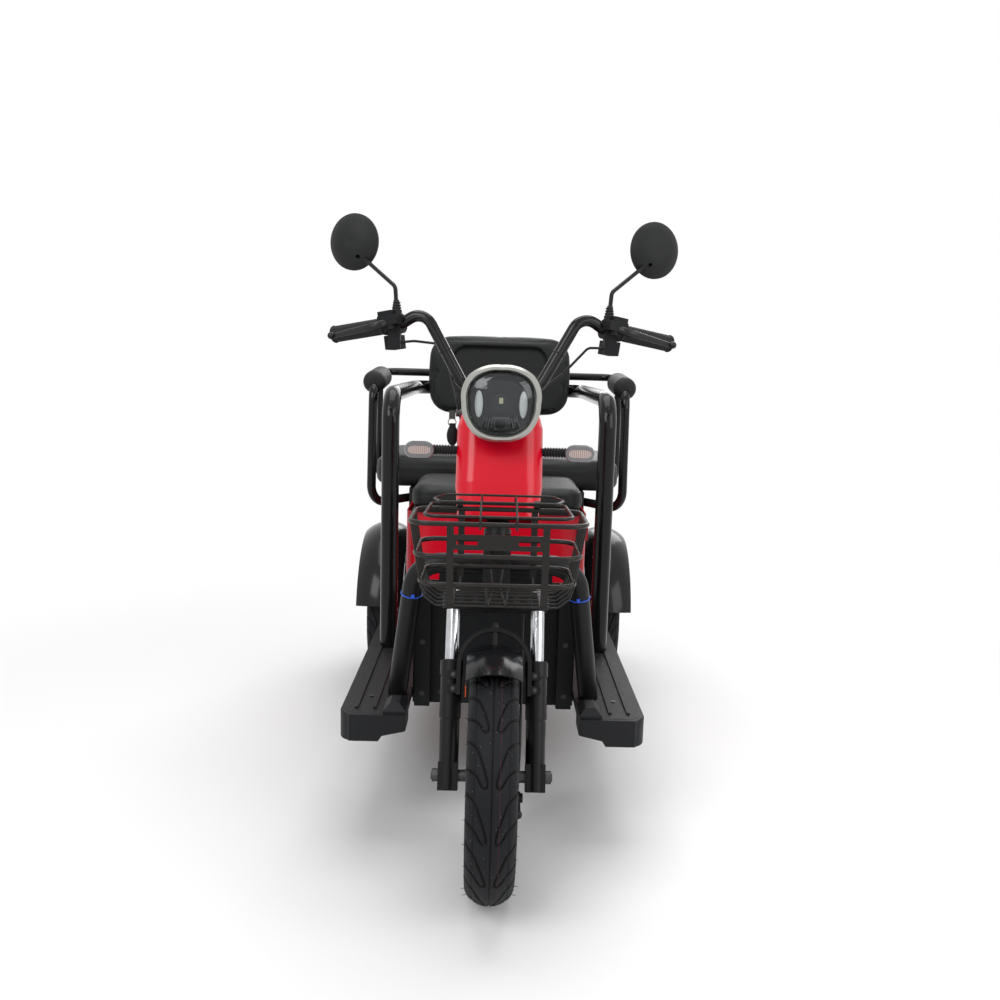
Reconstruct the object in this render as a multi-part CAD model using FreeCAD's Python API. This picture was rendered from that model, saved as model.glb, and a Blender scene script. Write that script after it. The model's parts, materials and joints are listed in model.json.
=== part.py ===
import FreeCAD, Part
import math
import os
from FreeCAD import Vector

# Electric passenger tricycle, millimetres.
# X runs to the viewer's right as the front is looked at, Y is the distance behind the front axle, Z is up.
# The whole is moved along Y at the end, so that its origin lies at the middle of its footprint.

os.makedirs("parts", exist_ok=True)

# Running gear
TYRE_R = 203.0
TYRE_W = 80.0
TYRE_DEPTH = 75.0
RIM_R = TYRE_R - TYRE_DEPTH
RIM_W = 56.0
FLANGE_H = 8.0
FLANGE_T = 3.0
WHEELBASE = 1108.0
REAR_TRACK = 600.0
GUARD_GAP = 36.0
GUARD_R = TYRE_R + GUARD_GAP
GUARD_SIDE = 24.5
GUARD_INSIDE = 17.5
GUARD_OUT = REAR_TRACK / 2.0 + TYRE_W / 2.0 + GUARD_SIDE
GUARD_W = TYRE_W + GUARD_SIDE + GUARD_INSIDE
GUARD_T = 3.0
MUD_GAP = 19.0
MUD_R = TYRE_R + MUD_GAP
REAR_Y = WHEELBASE
LENGTH = TYRE_R + WHEELBASE + GUARD_R
PIN_GAP = 0.5
RUN_GAP = 6.0

# Steering
RAKE = 21.0
TRAIL_OFFSET = 30.0
LEG_X = 74.0
STANCHION_R = 12.5
LEG_R = 17.0
COLLAR_R = 20.0
LEG_FOOT = -22.0
CROWN_S0 = MUD_R + 59.0
CROWN_S1 = CROWN_S0 + 31.0
LEG_TOP = CROWN_S0 - 87.0
LEG_STEP = LEG_TOP - 101.0
HEAD_S0 = CROWN_S1 + 10.0
HEAD_S1 = HEAD_S0 + 110.0
TILT = math.radians(RAKE)
HEAD_Y = TRAIL_OFFSET * math.cos(TILT) + HEAD_S0 * math.sin(TILT)
HEAD_Z = TYRE_R - TRAIL_OFFSET * math.sin(TILT) + HEAD_S0 * math.cos(TILT)
HEAD_R = 25.0
STEM_R = 14.0
RISER_R = 21.0
AXLE_R = 7.0

# Column cover and lamp
COVER_W = 158.0
COVER_D = 128.0
COVER_S0 = HEAD_S1 + 14.0
COVER_S1 = COVER_S0 + 194.0
COVER_TOP = COVER_S1 + 22.0
RISER_TOP = COVER_TOP + 24.0
COVER_WALL = 3.0
LAMP_Y = HEAD_Y - 23.4
LAMP_Z = HEAD_Z + 335.1
LAMP_W = 138.0
LAMP_H = 133.0
BEZEL_T = 11.0
BEZEL_DEPTH = 22.0
BOWL_DEPTH = 88.0
SIGNAL_X = 146.0
SIGNAL_Y = HEAD_Y + 56.6
SIGNAL_Z = HEAD_Z + 245.1
SIGNAL_W = 52.0
SIGNAL_H = 32.0
SIGNAL_D = 24.0

# Handlebar
BAR_R = 11.0
CLAMP_Y = HEAD_Y + 137.6
CLAMP_Z = HEAD_Z + 357.1
CLAMP_R = 19.0
GRIP_R = 15.5
GRIP_L = 122.0
MIRROR_R = 55.0

# Basket
RIM_WIRE = 4.0
THIN_WIRE = 1.6
BASKET_Y0 = HEAD_Y - 233.4
BASKET_Y1 = BASKET_Y0 + 152.0
BASKET_Z = HEAD_Z + 159.1
BASKET_CORNER = 30.0
BASKET_RIMS = (("top", BASKET_Z, 138.0, 0.0), ("middle", BASKET_Z - 52.0, 130.0, 5.0),
               ("low", BASKET_Z - 98.0, 122.0, 10.0))
BASKET_FLOOR = BASKET_Z - 135.0
LID_Z = BASKET_Z + 10.0
LID_RAISE = 18.0

# Floor, frame
FLOOR_Z = TYRE_R + 47.0
BOARD_IN = 161.0
BOARD_OUT = 284.0
BOARD_Y0 = 143.0
BENCH_Y1 = WHEELBASE + 154.0
BENCH_Y0 = BENCH_Y1 - 374.0
BOX_Y1 = BENCH_Y0 - 6.0
BOX_Y0 = BOX_Y1 - 270.0
BOARD_Y1 = BOX_Y1 - 26.0
BOARD_LOW = FLOOR_Z - 51.0
BOARD_T = 15.0
SKIRT_T = 5.0
RAIL_X = 120.0
RAIL = 30.0
HOOP_R = 19.0
GUARD_TUBE_R = 19.5
ARM_TUBE_R = 11.0
SEAT_X = 206.0
SEAT_Y1 = BENCH_Y0 - 14.0
SEAT_Y0 = SEAT_Y1 - 283.0
SEAT_Z0 = FLOOR_Z + 312.0
SEAT_Z1 = SEAT_Z0 + 54.0
BOX_X = 208.0
BOX_WALL = 3.0
BASE_T = 6.0
REST_GAP = 0.3
BOX_TOP = SEAT_Z0 - BASE_T - REST_GAP
BENCH_X = 326.0
BENCH_Z0 = FLOOR_Z + 322.0
BENCH_Z1 = BENCH_Z0 + 80.0
REAR_RAIL_Z = FLOOR_Z + 50.0
BOX_TYRE_GAP = 34.0
REAR_BOX_X = REAR_TRACK / 2.0 - TYRE_W / 2.0 - BOX_TYRE_GAP
REAR_BOX_Y1 = WHEELBASE + 136.0
REAR_BOX_Z0 = REAR_RAIL_Z + RAIL
RAIL_TOP = FLOOR_Z + 572.0
BACK_W = 404.0
BACK_H = 222.0
BACK_Y0 = WHEELBASE + 60.0
BACK_T = 62.0
BACK_Z = RAIL_TOP + 39.0

NODES = {}


def put(name, *shapes):
    NODES.setdefault(name, []).extend(shapes)


def block(x0, x1, y0, y1, z0, z1):
    return Part.makeBox(x1 - x0, y1 - y0, z1 - z0, Vector(x0, y0, z0))


def cyl(start, end, radius):
    a, b = Vector(*start), Vector(*end)
    return Part.makeCylinder(radius, (b - a).Length, a, b - a)


def flip(shape):
    return shape.mirror(Vector(0, 0, 0), Vector(1, 0, 0))


def both(shape):
    return [shape, flip(shape)]


def route(points, bend, closed=False):
    pts = [Vector(*p) for p in points]
    if closed:
        start = (pts[0] + pts[-1]) * 0.5
        pts = [start] + pts + [start]
    edges, last = [], pts[0]
    for a, b, c in zip(pts, pts[1:], pts[2:]):
        u, w = (a - b).normalize(), (c - b).normalize()
        half = u.getAngle(w) / 2.0
        cut = bend / math.tan(half)
        p, q = b + u * cut, b + w * cut
        middle = b + (u + w).normalize() * (bend / math.sin(half) - bend)
        if (p - last).Length > 0.01:
            edges.append(Part.makeLine(last, p))
        edges.append(Part.Arc(p, middle, q).toShape())
        last = q
    edges.append(Part.makeLine(last, pts[-1]))
    return Part.Wire(edges)


def rod(points, radius, bend=0.0, closed=False):
    if len(points) == 2:
        return cyl(points[0], points[1], radius)
    wire = route(points, bend, closed)
    start = wire.Edges[0].valueAt(wire.Edges[0].FirstParameter)
    along = wire.Edges[0].tangentAt(wire.Edges[0].FirstParameter)
    ring = Part.Wire([Part.makeCircle(radius, start, along)])
    return wire.makePipeShell([ring], True, False)


def raked(shape):
    turned = shape.copy()
    turned.rotate(Vector(0, 0, 0), Vector(1, 0, 0), -RAKE)
    turned.translate(Vector(0, TRAIL_OFFSET * math.cos(TILT), TYRE_R - TRAIL_OFFSET * math.sin(TILT)))
    return turned


def rounded_outline(width, height, radius, flat_y, centre_z=0.0, centre_x=0.0):
    w, h, r = width / 2.0, height / 2.0, radius
    d = r * (1.0 - math.sqrt(0.5))
    edges = []
    for sx, sz, turn in ((1, 1, 0), (-1, 1, 1), (-1, -1, 0), (1, -1, 1)):
        a = Vector(centre_x + sx * w, flat_y, centre_z + sz * (h - r))
        b = Vector(centre_x + sx * (w - r), flat_y, centre_z + sz * h)
        m = Vector(centre_x + sx * (w - d), flat_y, centre_z + sz * (h - d))
        if turn:
            a, b = b, a
        edges.append((a, m, b))
    out = []
    for i, (a, m, b) in enumerate(edges):
        out.append(Part.Arc(a, m, b).toShape())
        nxt = edges[(i + 1) % len(edges)][0]
        if (nxt - b).Length > 0.01:
            out.append(Part.makeLine(b, nxt))
    return Part.Wire(out)


def pad_block(x0, x1, y0, y1, z0, z1, side, edge):
    body = block(x0, x1, y0, y1, z0, z1)
    upright = [e for e in body.Edges if abs(e.BoundBox.ZLength) > 1.0]
    body = body.makeFillet(side, upright)
    rims = [e for e in body.Edges if e.BoundBox.ZLength < 0.01]
    return body.makeFillet(edge, rims)


def spun(points, axis_y, axis_z, x0=0.0, angle=360.0, start=0.0):
    """Points are (x, radius) or (x, radius, 'arc middle'), turned about a line along X."""
    pts = [Vector(x0 + p[0], axis_y, axis_z + p[1]) for p in points]
    edges, i = [], 0
    while i < len(points):
        j = (i + 1) % len(points)
        if len(points[j]) == 3:
            k = (j + 1) % len(points)
            edges.append(Part.Arc(pts[i], pts[j], pts[k]).toShape())
            i = i + 2
        else:
            edges.append(Part.makeLine(pts[i], pts[j]))
            i = i + 1
    face = Part.Face(Part.Wire(edges))
    if start:
        face.rotate(Vector(0, axis_y, axis_z), Vector(1, 0, 0), start)
    return face.revolve(Vector(0, axis_y, axis_z), Vector(1, 0, 0), angle)


# Wheels
SEAT_HALF = RIM_W / 2.0
BULGE = TYRE_W / 2.0
TYRE_SIDE = (
    # across, below the tread, shape
    (SEAT_HALF, TYRE_DEPTH), (SEAT_HALF, TYRE_DEPTH - 10), (BULGE - 2.5, TYRE_DEPTH - 20, "arc"),
    (BULGE, 37), (BULGE - 1, 23, "arc"), (BULGE - 7, 13))
TYRE_OUTLINE = tuple((x, TYRE_R - d) + tuple(k) for x, d, *k in TYRE_SIDE) + ((0, TYRE_R, "arc"),) + tuple(
    (-x, TYRE_R - d) + tuple(k) for x, d, *k in reversed(TYRE_SIDE))
HUB_R = 34.0
HUB_W = 30.0
SPOKES = 5
SPOKE_W = 24.0
SPOKE_T = 20.0
BARREL_T = 9.0
DRUM_R = 62.0


def rim(x, y, bore, drum_side):
    half = RIM_W / 2.0
    ring = spun(((-half, RIM_R - BARREL_T), (half + FLANGE_T, RIM_R - BARREL_T),
                 (half + FLANGE_T, RIM_R + FLANGE_H), (half, RIM_R + FLANGE_H), (half, RIM_R),
                 (-half, RIM_R), (-half, RIM_R + FLANGE_H), (-half - FLANGE_T, RIM_R + FLANGE_H),
                 (-half - FLANGE_T, RIM_R - BARREL_T)), y, TYRE_R, x)
    hub = cyl((x - HUB_W, y, TYRE_R), (x + HUB_W, y, TYRE_R), HUB_R)
    drum = cyl((x, y, TYRE_R), (x + drum_side * HUB_W, y, TYRE_R), DRUM_R)
    whole = ring.fuse([hub, drum])
    for i in range(SPOKES):
        bar = block(x - SPOKE_T / 2, x + SPOKE_T / 2, y - SPOKE_W / 2, y + SPOKE_W / 2,
                    TYRE_R + HUB_R - 4, TYRE_R + RIM_R - BARREL_T / 2)
        bar.rotate(Vector(0, y, TYRE_R), Vector(1, 0, 0), 360.0 * i / SPOKES)
        whole = whole.fuse(bar)
    return whole.cut(cyl((x - 60, y, TYRE_R), (x + 60, y, TYRE_R), bore))


REAR_X = REAR_TRACK / 2.0
STUB_R = 11.0
put("front_tyre", spun(TYRE_OUTLINE, 0.0, TYRE_R))
put("front_rim", rim(0.0, 0.0, AXLE_R + PIN_GAP, 1))
for side, sign in (("left", -1), ("right", 1)):
    put("rear_tyre_" + side, spun(TYRE_OUTLINE, REAR_Y, TYRE_R, sign * REAR_X))
    put("rear_rim_" + side, rim(sign * REAR_X, REAR_Y, STUB_R + PIN_GAP, -sign))

# Fork
LEG_SWELL_R = LEG_R + 1.5
COLLAR_H = 26.0
COLLAR_EDGE = 2.0
LUG_HALF = 15.0
STANCHION_S0 = 30.0
CROWN_LUG = 20.0
CROWN_REAR = 24.0
CROWN_ROUND = 19.0
CROWN_EDGE = 6.0
legs, tubes = [], []
for x in (-LEG_X, LEG_X):
    y = -TRAIL_OFFSET
    side = [(0, LEG_FOOT), (LEG_R, LEG_FOOT), (LEG_R, LEG_STEP), (LEG_SWELL_R, LEG_STEP + 3),
            (LEG_SWELL_R, LEG_TOP - COLLAR_H - 4), (COLLAR_R, LEG_TOP - COLLAR_H),
            (COLLAR_R, LEG_TOP - COLLAR_EDGE), (COLLAR_R - COLLAR_EDGE, LEG_TOP), (0, LEG_TOP), (0, LEG_FOOT)]
    leg = Part.Face(Part.makePolygon([Vector(x + r, y, s) for r, s in side])).revolve(
        Vector(x, y, 0), Vector(0, 0, 1), 360.0)
    lug = block(x - LEG_R, x + LEG_R, y - LUG_HALF, y + LUG_HALF, LEG_FOOT - 2, -LEG_FOOT)
    legs.append(leg.fuse(lug))
    tubes.append(cyl((x, y, STANCHION_S0), (x, y, CROWN_S1 + 4), STANCHION_R))
put("fork_lowers", *[raked(s) for s in legs])
put("stanchions", *[raked(s) for s in tubes])
CROWN_X = LEG_X + CROWN_LUG
crown = block(-CROWN_X, CROWN_X, -TRAIL_OFFSET - CROWN_LUG, CROWN_REAR, CROWN_S0, CROWN_S1)
crown = crown.makeFillet(CROWN_ROUND, [e for e in crown.Edges if e.BoundBox.ZLength > 1.0])
crown = crown.makeFillet(CROWN_EDGE, [e for e in crown.Edges if e.BoundBox.ZLength < 0.01])
stem = cyl((0, 0, CROWN_S1 - 2), (0, 0, HEAD_S1 + 4), STEM_R)
put("fork_crown", raked(crown), raked(stem))
NUT_R = 11.0
NUT_T = 10.0
SPACER_R = 10.0
LEG_OUT = LEG_X + LEG_R
AXLE_X = LEG_OUT + NUT_T + 2.0
axle = cyl((-AXLE_X, 0, TYRE_R), (AXLE_X, 0, TYRE_R), AXLE_R)
nuts = both(cyl((LEG_OUT, 0, TYRE_R), (LEG_OUT + NUT_T, 0, TYRE_R), NUT_R))
spacers = both(cyl((HUB_W + RUN_GAP, 0, TYRE_R), (LEG_X - LEG_R + 2, 0, TYRE_R), SPACER_R))
put("front_axle", axle, *nuts, *spacers)

# Fork brace, a flat bar bent over the tyre
BRACE_IN = 57.0
BRACE_OUT = 64.0
BRACE_Y0 = -68.0
BRACE_Y1 = -52.0
BRACE_S1 = MUD_R - 38.0
BRACE_S0 = BRACE_S1 - 50.0
BRACE_LUGS = (BRACE_S0 + 10.0, BRACE_S0 + 34.0)
BRACE_LUG_HALF = 7.0


def arch(inner, outer, y0, y1, s0, s1):
    ring = Part.makeCylinder(outer, y1 - y0, Vector(0, y0, s1), Vector(0, 1, 0)).cut(
        Part.makeCylinder(inner, y1 - y0, Vector(0, y0, s1), Vector(0, 1, 0)))
    ring = ring.common(block(-outer, outer, y0, y1, s1, s1 + outer))
    return ring.fuse([block(-outer, -inner, y0, y1, s0, s1), block(inner, outer, y0, y1, s0, s1)])


brace = arch(BRACE_IN, BRACE_OUT, BRACE_Y0, BRACE_Y1, BRACE_S0, BRACE_S1)
lugs = []
for s in BRACE_LUGS:
    lugs += both(block(BRACE_IN + 1, LEG_X + 6, BRACE_Y1 - 3, -TRAIL_OFFSET - LEG_R + 2,
                       s - BRACE_LUG_HALF, s + BRACE_LUG_HALF))
put("fork_brace", raked(brace.fuse(lugs)))

# Front mudguard
MUD_T = 2.5
MUD_HALF = 46.0
MUD_FRONT = 21.0
MUD_BACK = 78.0
MUD_EDGE = MUD_R - 26.0
MUD_SHOULDER = MUD_R - 13.0
MUD_IN = MUD_HALF - MUD_T
mud = spun(((-MUD_HALF, MUD_EDGE), (-MUD_IN, MUD_EDGE), (-MUD_IN, MUD_SHOULDER - 1),
            (0, MUD_R - MUD_T, "arc"), (MUD_IN, MUD_SHOULDER - 1), (MUD_IN, MUD_EDGE), (MUD_HALF, MUD_EDGE),
            (MUD_HALF, MUD_SHOULDER), (0, MUD_R, "arc"), (-MUD_HALF, MUD_SHOULDER)),
           0.0, TYRE_R, 0.0, MUD_BACK + MUD_FRONT, -MUD_BACK)
put("front_mudguard", mud)
MUD_BOLT_R = 5.0
BRACE_MID = (BRACE_Y0 + BRACE_Y1) / 2.0
mud_bolt = cyl((0, BRACE_MID, MUD_R - 3.6), (0, BRACE_MID, BRACE_S1 + BRACE_OUT - 3), MUD_BOLT_R)
put("fork_brace", raked(mud_bolt))

# Front brake
PLATE_X0 = HUB_W + RUN_GAP
PLATE_X1 = PLATE_X0 + 8.0
BRAKE_ARM_T = 6.0
BRAKE_ARM_HALF = 8.0
PIVOT_Z = TYRE_R - 38.0
plate = cyl((PLATE_X0, 0, TYRE_R), (PLATE_X1, 0, TYRE_R), DRUM_R)
arm = block(PLATE_X1, PLATE_X1 + BRAKE_ARM_T, -BRAKE_ARM_HALF, BRAKE_ARM_HALF, PIVOT_Z - 32, PIVOT_Z + 8)
pivot = cyl((PLATE_X0 + 4, 0, PIVOT_Z), (PLATE_X1 + 10, 0, PIVOT_Z), BRAKE_ARM_HALF)
put("front_brake", plate, arm, pivot)

# Column cover over the steering riser
riser = cyl((0, 0, HEAD_S1 + 4), (0, 0, RISER_TOP), RISER_R)
put("handlebar", raked(riser))


def cover_section(width, depth, s, radius, shift=0.0):
    w, d, r = width / 2.0, depth / 2.0, radius
    corner = r * (1.0 - math.sqrt(0.5))
    arcs = []
    for sx, sy, turn in ((1, 1, 0), (-1, 1, 1), (-1, -1, 0), (1, -1, 1)):
        a, b = Vector(sx * w, shift + sy * (d - r), s), Vector(sx * (w - r), shift + sy * d, s)
        m = Vector(sx * (w - corner), shift + sy * (d - corner), s)
        if turn:
            a, b = b, a
        arcs.append((a, m, b))
    edges = []
    for i, (a, m, b) in enumerate(arcs):
        edges += [Part.Arc(a, m, b).toShape(), Part.makeLine(b, arcs[(i + 1) % 4][0])]
    return Part.Wire(edges)


COVER_SECTIONS = (
    # width, depth, along the axis, corner, towards the rear
    (COVER_W - 12, COVER_D - 16, COVER_S0, 30.0, 0.0),
    (COVER_W, COVER_D, COVER_S0 + 60, 36.0, 0.0),
    (COVER_W, COVER_D, COVER_S1 - 24, 38.0, 0.0),
    (COVER_W - 10, COVER_D - 10, COVER_S1, 38.0, 2.0),
    (COVER_W - 44, COVER_D - 42, COVER_TOP, 30.0, 8.0))
outer = Part.makeLoft([cover_section(w, d, s, r, t) for w, d, s, r, t in COVER_SECTIONS], True, True)
inner = Part.makeLoft([cover_section(w - 2 * COVER_WALL, d - 2 * COVER_WALL, min(s, COVER_TOP - COVER_WALL),
                                     r - COVER_WALL, t) for w, d, s, r, t in COVER_SECTIONS], True, True)
cover = outer.cut(inner).cut(cyl((0, 0, COVER_S0 - 20), (0, 0, RISER_TOP), RISER_R))
WEB_HALF = 3.0
web = block(-COVER_W / 2 + 2, COVER_W / 2 - 2, -WEB_HALF, WEB_HALF, COVER_S0 + 70, COVER_S0 + 110)
cover = cover.fuse(web.cut(cyl((0, 0, COVER_S0), (0, 0, COVER_S1), RISER_R)))
put("column_cover", raked(cover))

# Headlamp
LAMP_ROUND = 2.5
LAMP_TAPER = 0.12


def lamp_outline(inset, y):
    """Eight arcs through points of a squared circle that narrows towards its foot."""
    w, h = LAMP_W / 2.0 - inset, LAMP_H / 2.0 - inset
    points = []
    for k in range(17):
        c, s = math.cos(math.pi * k / 8.0), math.sin(math.pi * k / 8.0)
        x = math.copysign(abs(c) ** (2.0 / LAMP_ROUND), c) if abs(c) > 1e-9 else 0.0
        z = math.copysign(abs(s) ** (2.0 / LAMP_ROUND), s) if abs(s) > 1e-9 else 0.0
        points.append(Vector(w * x * (1.0 - LAMP_TAPER * (1.0 - z) / 2.0), y, LAMP_Z + h * z))
    points[-1] = points[0]
    return Part.Wire([Part.Arc(*points[k:k + 3]).toShape() for k in range(0, 16, 2)])


def lamp_loft(*sections):
    return Part.makeLoft([lamp_outline(inset, LAMP_Y + y) for inset, y in sections], True, True)


bezel = lamp_loft((4.0, 0.0), (0.0, 5.0), (0.0, BEZEL_DEPTH)).cut(
    lamp_loft((BEZEL_T - 3.0, -1.0), (BEZEL_T, 5.0), (BEZEL_T, BEZEL_DEPTH + 1.0)))
put("headlamp_bezel", bezel)
bowl = lamp_loft((0.5, BEZEL_DEPTH), (10.0, 60.0), (30.0, BOWL_DEPTH)).cut(
    lamp_loft((BEZEL_T, BEZEL_DEPTH - 1.0), (27.0, 58.0)))
LAMP_ARM_X = 22.0
LAMP_ARM_Z = 8.0
PROJECTOR_R = 17.0
bracket = block(-LAMP_ARM_X, LAMP_ARM_X, LAMP_Y + 70, CLAMP_Y - 12,
                CLAMP_Z - LAMP_ARM_Z, CLAMP_Z + LAMP_ARM_Z)
projector = cyl((0, LAMP_Y + 30, LAMP_Z), (0, LAMP_Y + 62, LAMP_Z), PROJECTOR_R)
put("headlamp_bowl", bowl.cut(raked(outer)), bracket, projector)
lens = lamp_loft((BEZEL_T + 26.0, -12.0), (BEZEL_T + 10.0, -6.0), (BEZEL_T, 3.0), (BEZEL_T, 14.0))
put("headlamp_lens", lens.cut(bezel))

# Turn signals on short stalks
SIGNAL_ROUND = SIGNAL_H / 2.0 - 0.1
SIGNAL_TAPER = 8.0
SIGNAL_WALL = 5.0
STALK_R = 7.5
STALK_Y = SIGNAL_Y + 2.0


def signal_section(less, y):
    return rounded_outline(SIGNAL_W - less, SIGNAL_H - less, SIGNAL_ROUND - less / 2.0, y, SIGNAL_Z, SIGNAL_X)


SIGNAL_FRONT = SIGNAL_Y - SIGNAL_D / 2.0
shell = Part.makeLoft([signal_section(0.0, SIGNAL_FRONT),
                       signal_section(SIGNAL_TAPER, SIGNAL_FRONT + SIGNAL_D)], True, True)
pocket = Part.makeLoft([signal_section(2.0 * SIGNAL_WALL, SIGNAL_FRONT - t) for t in (2.0, -8.0)], True, True)
stalk = cyl((COVER_W / 2 - 1, STALK_Y, SIGNAL_Z), (SIGNAL_X - SIGNAL_W / 2 + 6, STALK_Y, SIGNAL_Z), STALK_R)
put("turn_signals", *both(shell.fuse(stalk).cut(pocket)))
put("signal_lenses", *both(pocket))

# Handlebar
BAR_PATH = ((0, CLAMP_Y, CLAMP_Z), (70, CLAMP_Y, CLAMP_Z), (150, CLAMP_Y + 19, CLAMP_Z + 144),
            (190, CLAMP_Y + 27, CLAMP_Z + 118), (330, CLAMP_Y + 97, CLAMP_Z + 95))
BAR_BEND = 30.0
CLAMP_HALF = 30.0
bar = rod(BAR_PATH, BAR_R, BAR_BEND)
put("handlebar", *both(bar))
put("handlebar", cyl((-CLAMP_HALF, CLAMP_Y, CLAMP_Z), (CLAMP_HALF, CLAMP_Y, CLAMP_Z), CLAMP_R))
inner_end, tip = Vector(*BAR_PATH[-2]), Vector(*BAR_PATH[-1])
slope = (tip - inner_end).normalize()


def along_grip(distance):
    return tip - slope * distance


def from_tip(near, far, radius):
    return cyl(tuple(along_grip(far)), tuple(along_grip(near)), radius)


GRIP_END = 3.0
HOUSING_L = 34.0
HOUSING_R = 19.0
put("grips", *both(from_tip(-GRIP_END, GRIP_L, GRIP_R)))
housing = from_tip(GRIP_L, GRIP_L + HOUSING_L, HOUSING_R)
mid = along_grip(GRIP_L + HOUSING_L / 2.0)
drop = block(mid.x - 13, mid.x + 10, mid.y - 22, mid.y + 8, mid.z - 46, mid.z)
clamp = cyl((mid.x - 4, mid.y, mid.z), (mid.x - 4, mid.y - 2, mid.z + 26), 8.0)
put("switch_housings", *both(housing.fuse([drop, clamp])))
LEVER_R = 4.0
LEVER_BEND = 14.0
LEVER_BALL_R = 7.0
LEVER_END = (tip.x + 2, tip.y - 42, tip.z - 4)
LEVER_PATH = ((mid.x, mid.y - 18, mid.z - 4), (mid.x + 24, mid.y - 40, mid.z - 6), LEVER_END)
lever = rod(LEVER_PATH, LEVER_R, LEVER_BEND)
ball = Part.makeSphere(LEVER_BALL_R, Vector(*LEVER_END))
put("brake_levers", *both(lever.fuse(ball)))
STEM_WIRE = 4.0
STEM_BEND = 14.0
MIRROR_RIM = 4.0
MIRROR_DEPTH = 20.0
GLASS_T = 3.0
MIRROR_AT = Vector(tip.x - 34, tip.y + 22, tip.z + 181)
STEM_PATH = ((mid.x - 4, mid.y - 2, mid.z + 24), (mid.x - 1, mid.y - 2, tip.z + 91),
             tuple(MIRROR_AT - Vector(10, 9, 24)))
put("mirror_stems", *both(rod(STEM_PATH, STEM_WIRE, STEM_BEND)))
shell = spun(((0, 0), (0, MIRROR_R), (-MIRROR_RIM, MIRROR_R), (4 - MIRROR_DEPTH, MIRROR_R - 20, "arc"),
              (-MIRROR_DEPTH, 0)), 0, 0)
shell.rotate(Vector(0, 0, 0), Vector(0, 0, 1), 90)
shell.translate(MIRROR_AT)
dish = Part.makeCylinder(MIRROR_R - MIRROR_RIM, GLASS_T, MIRROR_AT - Vector(0, GLASS_T, 0), Vector(0, 1, 0))
put("mirror_heads", *both(shell.cut(dish)))
put("mirror_glass", *both(dish))

# Basket
def rim_points(half_width, inset, z):
    y0, y1 = BASKET_Y0 + inset, BASKET_Y1 - inset * 0.5
    return ((half_width, y0, z), (half_width, y1, z), (-half_width, y1, z), (-half_width, y0, z))


for name, z, half_width, inset in BASKET_RIMS:
    put("basket", rod(rim_points(half_width, inset, z), RIM_WIRE, BASKET_CORNER, True))
BAR_W = 11.0
BAR_T = 3.0
BAR_OVER = 2.0
FOOT_INSET = 26.0
FRONT_BARS = 74.0
REAR_BARS = 62.0
top, low = BASKET_RIMS[0], BASKET_RIMS[-1]
y_front = BASKET_Y0 - RIM_WIRE
y_rear = BASKET_Y1 + RIM_WIRE
FRONT_BAR_RUN = ((top[1] + BAR_OVER, 0.0), (low[1] - BAR_OVER, low[3]), (BASKET_FLOOR, FOOT_INSET))


def bar_piece(x, upper, lower):
    """A straight length of a flat upright, between two (height, inset) pairs."""
    (z0, i0), (z1, i1) = upper, lower
    corners = ((i0 - 1, z0), (i0 + BAR_T, z0), (i1 + BAR_T, z1), (i1 - 1, z1), (i0 - 1, z0))
    outline = Part.makePolygon([Vector(x - BAR_W / 2, y_front + inset, z) for inset, z in corners])
    return Part.Face(outline).extrude(Vector(BAR_W, 0, 0))


for x in (-FRONT_BARS, FRONT_BARS):
    x0, x1 = x - BAR_W / 2, x + BAR_W / 2
    for upper, lower in zip(FRONT_BAR_RUN, FRONT_BAR_RUN[1:]):
        put("basket", bar_piece(x, upper, lower))
    put("basket", block(x0, x1, y_front + 24, y_rear - 16, BASKET_FLOOR - 2, BASKET_FLOOR + 1))
REAR_WIRE_R = 2.2
for x in (-REAR_BARS, REAR_BARS):
    x0, x1 = x - BAR_W / 2, x + BAR_W / 2
    put("basket", block(x0, x1, y_rear - 6, y_rear - 3, low[1] - 20, top[1] + BAR_OVER))
    put("basket", cyl((x, y_rear - 5, low[1] - 18), (x, y_rear - 18, BASKET_FLOOR), REAR_WIRE_R))
PLATE_Z0 = BASKET_Z - 40.0
PLATE_Z1 = BASKET_Z - 16.0
PLATE_T = 2.0
SLOT_AT = 48.0
SLOT_HALF = 16.0
SLOT_EDGE = 8.0
plate = block(-FRONT_BARS, FRONT_BARS, y_front + 2, y_front + 2 + PLATE_T, PLATE_Z0, PLATE_Z1)
for x in (-SLOT_AT, SLOT_AT):
    plate = plate.cut(block(x - SLOT_HALF, x + SLOT_HALF, y_front, y_front + 6, PLATE_Z0 + SLOT_EDGE,
                            PLATE_Z1 - SLOT_EDGE))
put("basket", plate)
FLOOR_WIRES = (24.0, 46.0, 70.0, 94.0, 118.0, 134.0)
FLOOR_EDGE = ((low[2], low[1]), (low[2] - 8, BASKET_FLOOR + 14), (low[2] - 26, BASKET_FLOOR))
FLOOR_BEND = 8.0
for behind in FLOOR_WIRES:
    y = BASKET_Y0 + behind
    across = [(x, y, z) for x, z in FLOOR_EDGE] + [(-x, y, z) for x, z in reversed(FLOOR_EDGE)]
    put("basket", rod(across, THIN_WIRE, FLOOR_BEND))
SIDE_WIRES = (30.0, 54.0, 78.0, 102.0, 126.0)
SIDE_BEND = 40.0
for behind in SIDE_WIRES:
    y = BASKET_Y0 + behind
    down = [(half_width, y, z) for _, z, half_width, _ in BASKET_RIMS]
    put("basket", *both(rod(down, THIN_WIRE, SIDE_BEND)))
MIDDLE_WIRE_X = 18.0
MIDDLE_BEND = 6.0
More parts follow.
